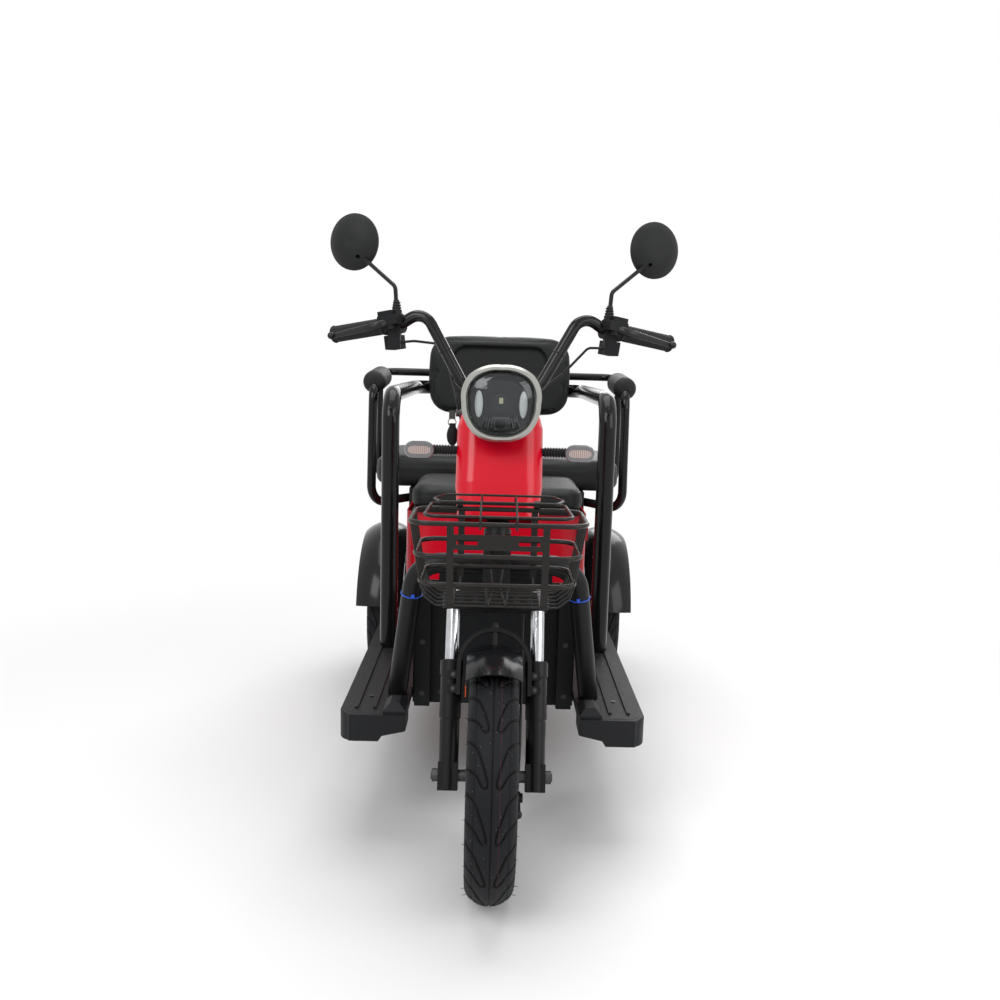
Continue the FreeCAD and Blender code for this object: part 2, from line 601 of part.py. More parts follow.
for x in (-MIDDLE_WIRE_X, MIDDLE_WIRE_X):
    put("basket", rod(((x, BASKET_Y0 + low[3], low[1]), (x * 0.8, BASKET_Y0 + FOOT_INSET, BASKET_FLOOR + 1),
                       (x * 0.3, BASKET_Y1 - 18, BASKET_FLOOR + 1), (x * 0.6, BASKET_Y1 - 5, low[1])),
                      THIN_WIRE, MIDDLE_BEND))

# Basket carrier
CARRIER_HALF = 24.0
CARRIER_T = 4.0
CARRIER_Y1 = -TRAIL_OFFSET - CROWN_LUG
ARM_X = 17.0
ARM_HALF = 5.0
put("basket_bracket", raked(block(-CARRIER_HALF, CARRIER_HALF, CARRIER_Y1 - CARRIER_T, CARRIER_Y1,
                                  CROWN_S0 + 2, CROWN_S1 + 92)))
for x in (-ARM_X, ARM_X):
    x0, x1 = x - ARM_HALF, x + ARM_HALF
    put("basket_bracket", block(x0, x1, y_rear - 1, HEAD_Y - 19.4, BASKET_Z - 76, BASKET_Z - 71))
    put("basket_bracket", block(x0, x1, y_rear - 3, y_rear + 1, BASKET_Z - 92, BASKET_Z - 42))

# Basket lid
LID_CLIP_X = 60.0
LID_WIRE = 2.8
LID_HINGE_Y = BASKET_Y1 - 2.0
LID_Y0 = BASKET_Y0 + 8.0
LID_HALF = 116.0
LID_BEND = 22.0
HAT_WIRE = 2.0
HAT_BEND = 10.0
HAT_Z = LID_Z + LID_RAISE
LID_LOOP = ((LID_HALF, LID_Y0), (LID_HALF - 4, LID_HINGE_Y), (4 - LID_HALF, LID_HINGE_Y), (-LID_HALF, LID_Y0))
HAT_SIDE = ((92, LID_Y0 + 34), (104, BASKET_Y0 + 76), (88, LID_HINGE_Y - 26))
HAT_LOOP = HAT_SIDE + tuple((-x, y) for x, y in reversed(HAT_SIDE))
lid_loop = rod([(x, y, LID_Z) for x, y in LID_LOOP], LID_WIRE, LID_BEND, True)
hat = rod([(x, y, HAT_Z) for x, y in HAT_LOOP], HAT_WIRE, HAT_BEND, True)
put("basket_lid", lid_loop, hat)
CLIP_R = 6.6
CLIP_X1 = LID_CLIP_X + 10.0
clip = cyl((LID_CLIP_X, LID_HINGE_Y, LID_Z), (CLIP_X1, LID_HINGE_Y, LID_Z), CLIP_R).cut(
    cyl((LID_CLIP_X - 1, LID_HINGE_Y, LID_Z), (CLIP_X1 + 1, LID_HINGE_Y, LID_Z), LID_WIRE + PIN_GAP))
put("basket", *both(clip))
HOOK_Y = BASKET_Y0 - RIM_WIRE - 8.0
HOOK_X = 28.0
HOOK_WIRE = 1.8
HOOK_BEND = 5.0
for x in (-HOOK_X, HOOK_X):
    put("basket_lid", rod(((x, HOOK_Y, LID_Z - 16), (x, HOOK_Y, LID_Z + 3), (x, LID_Y0 + 6, LID_Z + 3),
                           (x, LID_Y0 + 32, HAT_Z), (x, LID_HINGE_Y - 25, HAT_Z), (x, LID_HINGE_Y, LID_Z)),
                          HOOK_WIRE, HOOK_BEND))

# Cables from the switch housings to the column cover
CABLE_R = 2.5
CABLE_BEND = (12.0, 14.0)
LEFT_CABLE = ((mid.x - 8, mid.y, mid.z - 34), (mid.x - 36, mid.y + 14, mid.z - 30),
              (116, CLAMP_Y + 19, CLAMP_Z + 80), (104, CLAMP_Y + 19, CLAMP_Z + 50),
              (84, CLAMP_Y - 13, CLAMP_Z - 20), (70, CLAMP_Y - 13, CLAMP_Z - 80))
RIGHT_CABLE = ((mid.x - 8, mid.y, mid.z - 34), (mid.x - 40, mid.y + 14, mid.z - 34),
               (120, CLAMP_Y + 49, CLAMP_Z + 30), (54, CLAMP_Y + 47, CLAMP_Z - 20),
               (44, CLAMP_Y + 9, CLAMP_Z - 70))
left_cable, right_cable = [rod(path, CABLE_R, bend)
                           for path, bend in zip((LEFT_CABLE, RIGHT_CABLE), CABLE_BEND)]
put("cables", flip(left_cable.cut(raked(outer))), right_cable.cut(raked(outer)))

# Frame
FLOOR_RAIL_Z = FLOOR_Z - 45.0
KICK_Y = BOX_Y1 + 18.0
SPINE_Y = 330.0
SPINE_FOOT_Y = 372.0
CROSS_Y = 360.0
bearing = cyl((0, 0, 0), (0, 0, HEAD_S1 + 5), STEM_R + PIN_GAP)
head = raked(cyl((0, 0, HEAD_S0), (0, 0, HEAD_S1), HEAD_R).cut(bearing))
HOOP_BEND = 55.0
HOOP_TOP = HEAD_Z + 33.0
HOOP_PATH = ((0, HEAD_Y + 64.6, HOOP_TOP), (150, HEAD_Y + 60.6, HOOP_TOP), (188, HEAD_Y + 118.6, FLOOR_Z))
hoop = rod(HOOP_PATH, HOOP_R, HOOP_BEND)
put("frame", head, *both(hoop))
SPINE_R = 17.0
SPINE_BEND = 60.0
SPINE_PATH = ((0, HEAD_Y + 6.6, HEAD_Z + 37), (0, SPINE_Y, HEAD_Z - 83), (0, SPINE_FOOT_Y, FLOOR_Z - 30))
spine = rod(SPINE_PATH, SPINE_R, SPINE_BEND)
put("frame", spine.cut(raked(cyl((0, 0, 0), (0, 0, HEAD_S1 + 5), HEAD_R - 1))))
for x in (-RAIL_X, RAIL_X):
    x0, x1 = x - RAIL / 2, x + RAIL / 2
    put("frame", block(x0, x1, CROSS_Y, KICK_Y + RAIL, FLOOR_RAIL_Z, FLOOR_RAIL_Z + RAIL))
    put("frame", block(x0, x1, KICK_Y, KICK_Y + RAIL, FLOOR_RAIL_Z, REAR_RAIL_Z + RAIL))
    put("frame", block(x0, x1, KICK_Y, REAR_BOX_Y1 + 6, REAR_RAIL_Z, REAR_RAIL_Z + RAIL))
for y in (CROSS_Y, BOX_Y0 - 52, BOX_Y1 - 62):
    put("frame", block(-BOARD_OUT + 12, BOARD_OUT - 12, y, y + RAIL, FLOOR_RAIL_Z, FLOOR_RAIL_Z + RAIL))
for y in (KICK_Y + RAIL, REAR_Y - 75, REAR_BOX_Y1 - 24):
    put("frame", block(-REAR_BOX_X + 4, REAR_BOX_X - 4, y, y + RAIL, REAR_RAIL_Z, REAR_RAIL_Z + RAIL))

# Footboards
LIP_STEP = 40.0
LIP_LOW = 24.0
NOSE_W = 42.0
NOSE_H = 18.0
NOSE_EDGE = 12.0
RIB_AT = (218.0, 252.0)
RIB_W = 6.0
RIB_H = 4.0
RIB_Y0 = BOARD_Y0 + 30.0
RIB_Y1 = BOX_Y0 - 52.0
CORNER_X = 20.0
CORNER_Y = 26.0


def outline_face(points, at):
    return Part.Face(Part.makePolygon([at(a, b) for a, b in points + points[:1]]))


def board():
    slab = block(BOARD_IN, BOARD_OUT, BOARD_Y0, BOARD_Y1, FLOOR_Z - BOARD_T, FLOOR_Z)
    outer_skirt = block(BOARD_OUT - SKIRT_T, BOARD_OUT, BOARD_Y0, BOARD_Y1, BOARD_LOW, FLOOR_Z)
    lip = [(BOARD_IN, FLOOR_Z), (BOARD_OUT, FLOOR_Z), (BOARD_OUT, BOARD_LOW + LIP_LOW),
           (BOARD_OUT - 12, BOARD_LOW), (BOARD_IN + LIP_STEP + 10, BOARD_LOW),
           (BOARD_IN + LIP_STEP, BOARD_LOW + 15), (BOARD_IN, BOARD_LOW + 21)]
    front_skirt = outline_face(lip, lambda x, z: Vector(x, BOARD_Y0, z)).extrude(Vector(0, SKIRT_T, 0))
    nose = block(BOARD_IN, BOARD_IN + NOSE_W, BOARD_Y0 + 4, BOARD_Y0 + 70, FLOOR_Z, FLOOR_Z + NOSE_H)
    nose = nose.makeChamfer(NOSE_EDGE, [e for e in nose.Edges if e.BoundBox.ZMin > FLOOR_Z + NOSE_H - 1])
    ribs = [block(x, x + RIB_W, RIB_Y0, RIB_Y1, FLOOR_Z, FLOOR_Z + RIB_H) for x in RIB_AT]
    corner = [(BOARD_OUT, BOARD_Y0 - 1), (BOARD_OUT, BOARD_Y0 + CORNER_Y),
              (BOARD_OUT - CORNER_X, BOARD_Y0 - 1)]
    whole = slab.fuse([outer_skirt, front_skirt, nose] + ribs)
    return whole.cut(outline_face(corner, lambda x, y: Vector(x, y, 0)).extrude(Vector(0, 0, FLOOR_Z + 30)))


put("footboard_right", board())
put("footboard_left", flip(board()))

# Leg shield and middle floor
SHIELD_Y = 300.0
SHIELD_Z0 = FLOOR_Z - 32.0
SHIELD_Z1 = HEAD_Z - 23.0
SHIELD_T = 5.0
SHIELD_TOP_X = 112.0
PILLAR_X = 141.0
PILLAR_HALF = 15.0
PILLAR_D = 22.0
shield = block(-BOARD_IN, BOARD_IN, SHIELD_Y, SHIELD_Y + SHIELD_T, SHIELD_Z0, SHIELD_Z1).fuse(
    [block(-SHIELD_TOP_X, SHIELD_TOP_X, SHIELD_Y, SHIELD_Y + SHIELD_T, SHIELD_Z1 - 10, SHIELD_Z1 + 26),
     block(-BOARD_IN, BOARD_IN, SHIELD_Y, BOX_Y0 + 2, FLOOR_RAIL_Z + RAIL, FLOOR_Z - 2)])
for x in (-PILLAR_X, PILLAR_X):
    shield = shield.fuse(block(x - PILLAR_HALF, x + PILLAR_HALF, SHIELD_Y - PILLAR_D, SHIELD_Y + 2,
                               SHIELD_Z0, SHIELD_Z1))
put("leg_shield", shield)

# Guard rails around the seats
GUARD_X = 240.0
BACK_RAIL_Y = REAR_BOX_Y1 + 10.0
ARM_Y0 = BOX_Y1 - 92.0
ARM_Z = RAIL_TOP + 42.0
ARM_LOW = BENCH_Z0 - 27.0
POST_Y = WHEELBASE + 42.0
ARM_FOOT_X = REAR_BOX_X - 10.0
GUARD_FOOT_Y = BOX_Y0 - 46.0
GUARD_BEND = 60.0
GUARD_PATH = ((GUARD_X, GUARD_FOOT_Y, FLOOR_Z), (GUARD_X, GUARD_FOOT_Y, RAIL_TOP),
              (GUARD_X + 2, BACK_RAIL_Y, RAIL_TOP), (0, BACK_RAIL_Y, RAIL_TOP))
guard = rod(GUARD_PATH, GUARD_TUBE_R, GUARD_BEND)
ARM_BEND = 45.0
POST_BEND = 40.0
POST_X = 338.0
ARM_PATH = ((0, BACK_RAIL_Y, ARM_Z), (342, BACK_RAIL_Y, ARM_Z), (308, ARM_Y0, ARM_Z - 26),
            (312, ARM_Y0, ARM_LOW), (ARM_FOOT_X, ARM_Y0 + 130, ARM_LOW))
ARM_POST = ((POST_X, POST_Y, ARM_Z - 8), (POST_X, POST_Y, ARM_LOW + 11), (ARM_FOOT_X, POST_Y, ARM_LOW + 11))
rear_solid = block(-REAR_BOX_X, REAR_BOX_X, BOX_Y1, REAR_BOX_Y1, REAR_BOX_Z0, BENCH_Z0)
armrail = rod(ARM_PATH, ARM_TUBE_R, ARM_BEND).fuse(rod(ARM_POST, ARM_TUBE_R, POST_BEND)).cut(rear_solid)
put("guard_rails", *both(guard), *both(armrail))
BRACKET_X = 90.0
BRACKET_HALF = 15.0
for x in (-BRACKET_X, BRACKET_X):
    put("guard_rails", block(x - BRACKET_HALF, x + BRACKET_HALF, BACK_Y0 + BACK_T, BACK_RAIL_Y - 8,
                             RAIL_TOP - 32, ARM_Z + 12))
PAD_R = 28.0
PAD_L = 210.0
PAD_ROUND = 20.0
pad_core = Part.makeCylinder(PAD_R, PAD_L, Vector(309, ARM_Y0 + 12, ARM_Z - 22), Vector(12, 440, 24))
pad_core = pad_core.makeFillet(PAD_ROUND, [e for e in pad_core.Edges if e.Closed])
put("arm_pads", *both(pad_core))

# Seat box, battery, driver's seat
BOX_ROUND = 24.0
BOX_IN = BOX_X - BOX_WALL
BATTERY_X = 175.0
BATTERY_H = 175.0
BATTERY_Z = FLOOR_Z + BOX_WALL
SEAT_ROUND = 40.0
SEAT_EDGE = 16.0


def rounded_front(body, radius, before):
    upright = [e for e in body.Edges if e.BoundBox.ZLength > 1.0 and e.BoundBox.YMax < before]
    return body.makeFillet(radius, upright)


box = rounded_front(block(-BOX_X, BOX_X, BOX_Y0, BOX_Y1, FLOOR_Z, BOX_TOP), BOX_ROUND, BOX_Y0 + 1)
core = block(-BOX_IN, BOX_IN, BOX_Y0 + BOX_WALL, BOX_Y1 - BOX_WALL, FLOOR_Z + BOX_WALL, SEAT_Z0)
box = box.cut(rounded_front(core, BOX_ROUND - BOX_WALL, BOX_Y0 + BOX_WALL + 1))
latch = block(BOX_X - 22, BOX_X + 2, BOX_Y0 - 14, BOX_Y0 + 3, SEAT_Z0 - 62, SEAT_Z0 - 32)
put("seat_box", box, latch)
put("battery", block(-BATTERY_X, BATTERY_X, BOX_Y0 + 68, BOX_Y1 - 32, BATTERY_Z, BATTERY_Z + BATTERY_H))
put("driver_seat", pad_block(-SEAT_X, SEAT_X, SEAT_Y0, SEAT_Y1, SEAT_Z0, SEAT_Z1, SEAT_ROUND, SEAT_EDGE))
HINGE_Y = BOX_Y0 - 7.0
HINGE_Z = BOX_TOP - 8.0
HINGE_R = 6.0
HINGE_PIN_R = 2.5
HINGE_HALF = 60.0
KNUCKLE_W = 14.0
PIN_HALF = HINGE_HALF + KNUCKLE_W + 2.0
KNUCKLE_X0 = HINGE_HALF + 1.0
KNUCKLE_X1 = KNUCKLE_X0 + KNUCKLE_W


def hinge_rod(x0, x1, radius):
    return cyl((x0, HINGE_Y, HINGE_Z), (x1, HINGE_Y, HINGE_Z), radius)


put("seat_box", hinge_rod(-HINGE_HALF, HINGE_HALF, HINGE_R),
    block(-HINGE_HALF, HINGE_HALF, HINGE_Y, BOX_Y0 + 1, HINGE_Z - 2, HINGE_Z + 2),
    hinge_rod(-PIN_HALF, PIN_HALF, HINGE_PIN_R))
base = block(-SEAT_X + 12, SEAT_X - 12, SEAT_Y0 + 10, SEAT_Y1 - 8, SEAT_Z0 - BASE_T, SEAT_Z0)
knuckle = hinge_rod(KNUCKLE_X0, KNUCKLE_X1, HINGE_R).fuse(
    block(KNUCKLE_X0, KNUCKLE_X1, HINGE_Y - HINGE_R, HINGE_Y + 4, HINGE_Z, SEAT_Z0 - 2))
knuckle = knuckle.cut(hinge_rod(HINGE_HALF, HINGE_HALF + 20, HINGE_PIN_R + PIN_GAP))
put("seat_base", base, *both(knuckle))

# Rear box, bench and backrest
REAR_WALL = 3.0
REAR_BOX_IN = REAR_BOX_X - REAR_WALL
BENCH_ROUND = 46.0
BENCH_EDGE = 20.0
BACK_ROUND = 60.0
BACK_EDGE = 16.0
DENT_W = 272.0
DENT_H = 92.0
DENT_ROUND = 40.0
DENT_DEPTH = 14.0
DENT_Z = BACK_Z + 38.0
put("rear_box", rear_solid.cut(block(-REAR_BOX_IN, REAR_BOX_IN, BOX_Y1 + REAR_WALL, REAR_BOX_Y1 - REAR_WALL,
                                     REAR_BOX_Z0 + REAR_WALL, BENCH_Z0 - REAR_WALL)))
put("rear_bench", pad_block(-BENCH_X, BENCH_X, BENCH_Y0, BENCH_Y1, BENCH_Z0, BENCH_Z1,
                            BENCH_ROUND, BENCH_EDGE))
back = Part.makeLoft([rounded_outline(BACK_W, BACK_H, BACK_ROUND, y, BACK_Z)
                      for y in (BACK_Y0, BACK_Y0 + BACK_T)], True, True)
face_rim = [e for e in back.Edges if abs(e.BoundBox.YMax - BACK_Y0) < 0.1 and e.BoundBox.YLength < 0.1]
back = back.makeFillet(BACK_EDGE, face_rim)
dent = Part.makeLoft([rounded_outline(DENT_W, DENT_H, DENT_ROUND, y, DENT_Z)
                      for y in (BACK_Y0 - 1, BACK_Y0 + DENT_DEPTH)], True, True)
put("backrest", back.cut(dent))

# Rear mudguards
GUARD_FRONT = 77.0
GUARD_BACK = 96.0
GUARD_HALF = GUARD_W / 2.0
GUARD_HALF_IN = GUARD_HALF - GUARD_T
GUARD_MID = GUARD_OUT - GUARD_HALF
INNER_EDGE = GUARD_R - 40.0
OUTER_EDGE = GUARD_R - 48.0
SHOULDER = GUARD_R - 25.0
STAY_HALF = 60.0
STAY_T = 6.0
fender = spun(((-GUARD_HALF, INNER_EDGE), (-GUARD_HALF_IN, INNER_EDGE), (-GUARD_HALF_IN, SHOULDER - 1),
               (0, GUARD_R - GUARD_T, "arc"), (GUARD_HALF_IN, SHOULDER - 1), (GUARD_HALF_IN, OUTER_EDGE),
               (GUARD_HALF, OUTER_EDGE), (GUARD_HALF, SHOULDER), (0, GUARD_R, "arc"),
               (-GUARD_HALF, SHOULDER)),
              REAR_Y, TYRE_R, GUARD_MID, GUARD_FRONT + GUARD_BACK, -GUARD_BACK)
stay = block(REAR_BOX_X, GUARD_MID - GUARD_HALF + 8, REAR_Y - STAY_HALF, REAR_Y + STAY_HALF,
             TYRE_R + INNER_EDGE, TYRE_R + INNER_EDGE + STAY_T)
put("rear_mudguard_right", fender.fuse(stay))
put("rear_mudguard_left", flip(fender.fuse(stay)))

# Rear axle with its motor, and the dampers
TUBE_END = REAR_X - 100.0
TUBE_R = 24.0
MOTOR_HALF = 95.0
MOTOR_R = 82.0
REAR_PLATE_T = 14.0
PLATE_OUT = REAR_X - HUB_W - RUN_GAP
ARM_ROD_R = 10.0
SHOCK_X = 160.0
SHOCK_R = 20.0
TAIL_IN = 140.0
TAIL_OUT = 210.0
TAIL_T = 14.0


def axle_rod(x0, x1, radius):
    return cyl((x0, REAR_Y, TYRE_R), (x1, REAR_Y, TYRE_R), radius)


axle_tube = axle_rod(-TUBE_END, TUBE_END, TUBE_R)
motor = axle_rod(-MOTOR_HALF, MOTOR_HALF, MOTOR_R)
stubs = both(axle_rod(TUBE_END - 1, REAR_X + 46, STUB_R))
plates = both(axle_rod(PLATE_OUT - REAR_PLATE_T, PLATE_OUT, DRUM_R))
trailing = both(cyl((RAIL_X, KICK_Y + RAIL / 2, TYRE_R + 42), (RAIL_X, REAR_Y, TYRE_R), ARM_ROD_R))
put("rear_axle", axle_tube, motor, *stubs, *plates, *trailing)
shock = cyl((SHOCK_X, REAR_Y - 6, TYRE_R + 20), (SHOCK_X, REAR_Y - 60, REAR_RAIL_Z + 2), SHOCK_R)
put("rear_dampers", *both(shock))
put("tail_lamps", *both(block(TAIL_IN, TAIL_OUT, REAR_BOX_Y1, REAR_BOX_Y1 + TAIL_T,
                              BENCH_Z0 - 102, BENCH_Z0 - 66)))

# Where one piece is let into another, the outer one is cut to its shape
LET_IN = (
    ("fork_lowers", "stanchions", "front_axle"),
    ("fork_crown", "stanchions"),
    ("fork_brace", "fork_lowers", "front_mudguard"),
    ("front_brake", "front_axle", "fork_lowers"),
    ("basket_bracket", "fork_crown", "basket", "stanchions"),
    ("headlamp_bowl", "handlebar"),
    ("grips", "handlebar"),
    ("switch_housings", "handlebar", "mirror_stems"),
    ("brake_levers", "switch_housings"),
    ("mirror_heads", "mirror_stems"),
    ("turn_signals", "column_cover"),
    ("cables", "switch_housings", "handlebar", "column_cover", "headlamp_bowl"),
    ("footboard_left", "frame"),
    ("footboard_right", "frame"),
    ("leg_shield", "frame", "footboard_left", "footboard_right"),
    ("guard_rails", "footboard_left", "footboard_right"),
    ("arm_pads", "guard_rails"),
    ("seat_box", "frame"),
    ("backrest", "guard_rails"),
    ("rear_axle", "frame"),
    ("rear_dampers", "rear_axle", "frame"),
)


def joined(shapes):
    whole = shapes[0]
    if len(shapes) > 1:
        whole = whole.multiFuse(shapes[1:])
    return whole


MM3_PER_LITRE = 1.0e6
built = {name: joined(shapes) for name, shapes in NODES.items()}
for name, *others in LET_IN:
    for other in others:
        built[name] = built[name].cut(built[other])

for name, shape in built.items():
    shape = shape.removeSplitter()
    solids = shape.Solids
    whole = solids[0] if len(solids) == 1 else Part.makeCompound(solids)
    whole = whole.copy()
    whole.translate(Vector(0, TYRE_R - LENGTH / 2.0, 0))
    whole.exportStep("parts/" + name + ".step")
    size = whole.optimalBoundingBox()
    print("%-20s %2d %8.2f litres x %7.1f %7.1f y %7.1f %7.1f z %7.1f %7.1f %s" % (
        name, len(solids), whole.Volume / MM3_PER_LITRE, size.XMin, size.XMax, size.YMin, size.YMax,
        size.ZMin, size.ZMax, "" if whole.isValid() else "BAD"))
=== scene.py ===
import json
import math

import bmesh
import bpy
from mathutils import Matrix, Vector


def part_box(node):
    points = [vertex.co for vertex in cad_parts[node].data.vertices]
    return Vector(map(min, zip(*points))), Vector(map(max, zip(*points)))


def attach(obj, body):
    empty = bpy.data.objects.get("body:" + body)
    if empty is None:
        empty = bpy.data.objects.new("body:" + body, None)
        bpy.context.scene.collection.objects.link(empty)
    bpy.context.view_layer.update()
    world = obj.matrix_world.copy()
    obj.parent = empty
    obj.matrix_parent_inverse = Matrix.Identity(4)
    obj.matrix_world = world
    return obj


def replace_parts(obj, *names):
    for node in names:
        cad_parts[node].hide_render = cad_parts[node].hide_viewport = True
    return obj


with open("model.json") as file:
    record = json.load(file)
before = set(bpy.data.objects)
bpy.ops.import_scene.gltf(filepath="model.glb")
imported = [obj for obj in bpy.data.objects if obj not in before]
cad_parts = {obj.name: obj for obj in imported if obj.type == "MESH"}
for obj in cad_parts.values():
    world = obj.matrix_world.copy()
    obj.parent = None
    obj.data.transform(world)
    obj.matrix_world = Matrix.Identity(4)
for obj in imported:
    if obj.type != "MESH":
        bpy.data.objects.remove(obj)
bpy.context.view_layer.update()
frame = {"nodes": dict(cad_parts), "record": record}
scene = bpy.context.scene
scene.view_settings.view_transform = "Standard"

# Metres, front towards -Y, up +Z. Tyre sections and points of the steered part are typed in millimetres.
MM_PER_M = 1000.0
FULL_TURN = 2.0 * math.pi
SIDES = (-1.0, 1.0)        # viewer's left and right
AXLE_Y = -0.572            # front axle
REAR_Y = 0.536             # rear axle
REAR_HALF_TRACK = 0.3
TYRE_R = 0.203
RAKE = math.radians(21.0)
FORK_OFFSET = 0.030        # from the front axle back to the steering axis, square to it

# Materials: noise moves the colour and the roughness, and a finer noise the surface
COAT_ROUGH = 0.08
FINE_GRAIN = 12.0          # times finer than the noise of the colour
BUMP_DISTANCE = 0.0006
NOISE_DETAIL, FINE_DETAIL = 4.0, 3.0
LEAST_ROUGH = 0.02


def material(name, color, rough, metal=0.0, grain=60.0, vary=0.12, bump=0.0, coat=0.0, spread=0.08,
             transmission=0.0, emission=0.0, spec=0.3, ior=1.5, ribs=0.0):
    m = bpy.data.materials.new(name)
    m.use_nodes = True
    nodes, links = m.node_tree.nodes, m.node_tree.links
    shader = nodes["Principled BSDF"]
    shader.inputs["Metallic"].default_value = metal
    shader.inputs["Specular IOR Level"].default_value = spec
    shader.inputs["IOR"].default_value = ior
    shader.inputs["Coat Weight"].default_value = coat
    shader.inputs["Coat Roughness"].default_value = COAT_ROUGH
    shader.inputs["Transmission Weight"].default_value = transmission
    coords = nodes.new("ShaderNodeTexCoord")
    noise = nodes.new("ShaderNodeTexNoise")
    noise.inputs["Scale"].default_value = grain
    noise.inputs["Detail"].default_value = NOISE_DETAIL
    links.new(coords.outputs["Object"], noise.inputs["Vector"])
    ramp = nodes.new("ShaderNodeMix")
    ramp.data_type = "RGBA"
    ramp.inputs["A"].default_value = [c * (1.0 - vary) for c in color] + [1.0]
    ramp.inputs["B"].default_value = [min(1.0, c * (1.0 + vary)) for c in color] + [1.0]
    if ribs:
        wave = nodes.new("ShaderNodeTexWave")
        wave.inputs["Scale"].default_value = ribs
        links.new(coords.outputs["Object"], wave.inputs["Vector"])
        links.new(wave.outputs["Fac"], ramp.inputs["Factor"])
    else:
        links.new(noise.outputs["Fac"], ramp.inputs["Factor"])
    links.new(ramp.outputs["Result"], shader.inputs["Base Color"])
    span = nodes.new("ShaderNodeMapRange")
    span.inputs["To Min"].default_value = max(LEAST_ROUGH, rough - spread)
    span.inputs["To Max"].default_value = min(1.0, rough + spread)
    links.new(noise.outputs["Fac"], span.inputs["Value"])
    links.new(span.outputs["Result"], shader.inputs["Roughness"])
    if bump:
        fine = nodes.new("ShaderNodeTexNoise")
        fine.inputs["Scale"].default_value = grain * FINE_GRAIN
        fine.inputs["Detail"].default_value = FINE_DETAIL
        links.new(coords.outputs["Object"], fine.inputs["Vector"])
        lift = nodes.new("ShaderNodeBump")
        lift.inputs["Strength"].default_value = bump
        lift.inputs["Distance"].default_value = BUMP_DISTANCE
        links.new(fine.outputs["Fac"], lift.inputs["Height"])
        links.new(lift.outputs["Normal"], shader.inputs["Normal"])
    if emission:
        shader.inputs["Emission Color"].default_value = list(color) + [1.0]
        shader.inputs["Emission Strength"].default_value = emission
    return m


LOOKS = {
    "gloss_black": material("tube gloss", (0.006, 0.006, 0.0065), 0.16, coat=0.12, vary=0.2, spread=0.05,
                            spec=0.18),
    "black_tube": material("frame paint", (0.009, 0.009, 0.0095), 0.38, bump=0.15, spec=0.18),
    "dark_plastic": material("dark plastic", (0.009, 0.0095, 0.0105), 0.5, bump=0.35, grain=90.0, spec=0.15),
    "board_plastic": material("board plastic", (0.013, 0.0135, 0.015), 0.5, bump=0.5, grain=110.0, spec=0.16),
    "pad_black": material("arm pad", (0.012, 0.012, 0.012), 0.6, bump=0.4, spec=0.2),
    "red_paint": material("red gloss", (0.62, 0.003, 0.018), 0.24, coat=0.2, vary=0.04, grain=14.0,
                          spread=0.04, spec=0.2),
    "battery_case": material("battery case", (0.03, 0.03, 0.033), 0.5),
    "black_panel": material("box paint", (0.009, 0.009, 0.0095), 0.42, bump=0.2, spec=0.25),
    "vinyl": material("vinyl", (0.0135, 0.0145, 0.0145), 0.44, bump=0.6, grain=70.0, spread=0.06, spec=0.2),
    "guard_black": material("mudguard gloss", (0.009, 0.0095, 0.0105), 0.2, coat=0.12, spread=0.06,
                            spec=0.18),
    "black_steel": material("black steel", (0.009, 0.009, 0.009), 0.4, bump=0.2, spec=0.18),
    "lamp_red": material("tail lens", (0.38, 0.004, 0.004), 0.15, coat=0.4, vary=0.3, ribs=120.0),
    "chrome": material("chrome", (0.5, 0.51, 0.53), 0.14, metal=1.0, vary=0.3, spread=0.05),
    "fork_black": material("fork paint", (0.008, 0.008, 0.009), 0.32, bump=0.15, spec=0.18),
    "zinc": material("axle steel", (0.07, 0.07, 0.068), 0.42, metal=0.8),
    "silver": material("bezel silver", (0.38, 0.38, 0.355), 0.34, metal=0.9, vary=0.1),
    "lamp_grey": material("lamp bowl", (0.03, 0.033, 0.036), 0.25, metal=0.3),
    "lens_clear": material("lens", (0.7, 0.73, 0.75), 0.04, transmission=1.0, vary=0.02, spread=0.02,
                           ior=1.12, coat=0.6),
    "signal_clear": material("signal lens", (0.40, 0.31, 0.29), 0.2, coat=0.5, vary=0.35, ribs=90.0),
    "grip_rubber": material("grip rubber", (0.010, 0.010, 0.010), 0.55, bump=0.5, grain=120.0, spec=0.25),
    "lever_black": material("lever", (0.008, 0.008, 0.008), 0.32),
    "mirror_black": material("mirror shell", (0.012, 0.0125, 0.013), 0.55, bump=0.3, grain=120.0, spec=0.2),
    "mirror_glass": material("mirror glass", (0.85, 0.87, 0.88), 0.04, metal=1.0, vary=0.01, spread=0.01),
    "basket_black": material("basket paint", (0.012, 0.0105, 0.0095), 0.32, bump=0.2, vary=0.25, spec=0.25),
    "cable_black": material("cable", (0.007, 0.007, 0.007), 0.45),
    "tyre": material("tyre rubber", (0.0105, 0.011, 0.0125), 0.58, bump=0.5, grain=90.0, vary=0.25,
                     spec=0.12),
    "rim_black": material("rim paint", (0.009, 0.009, 0.0095), 0.34, bump=0.1),
}

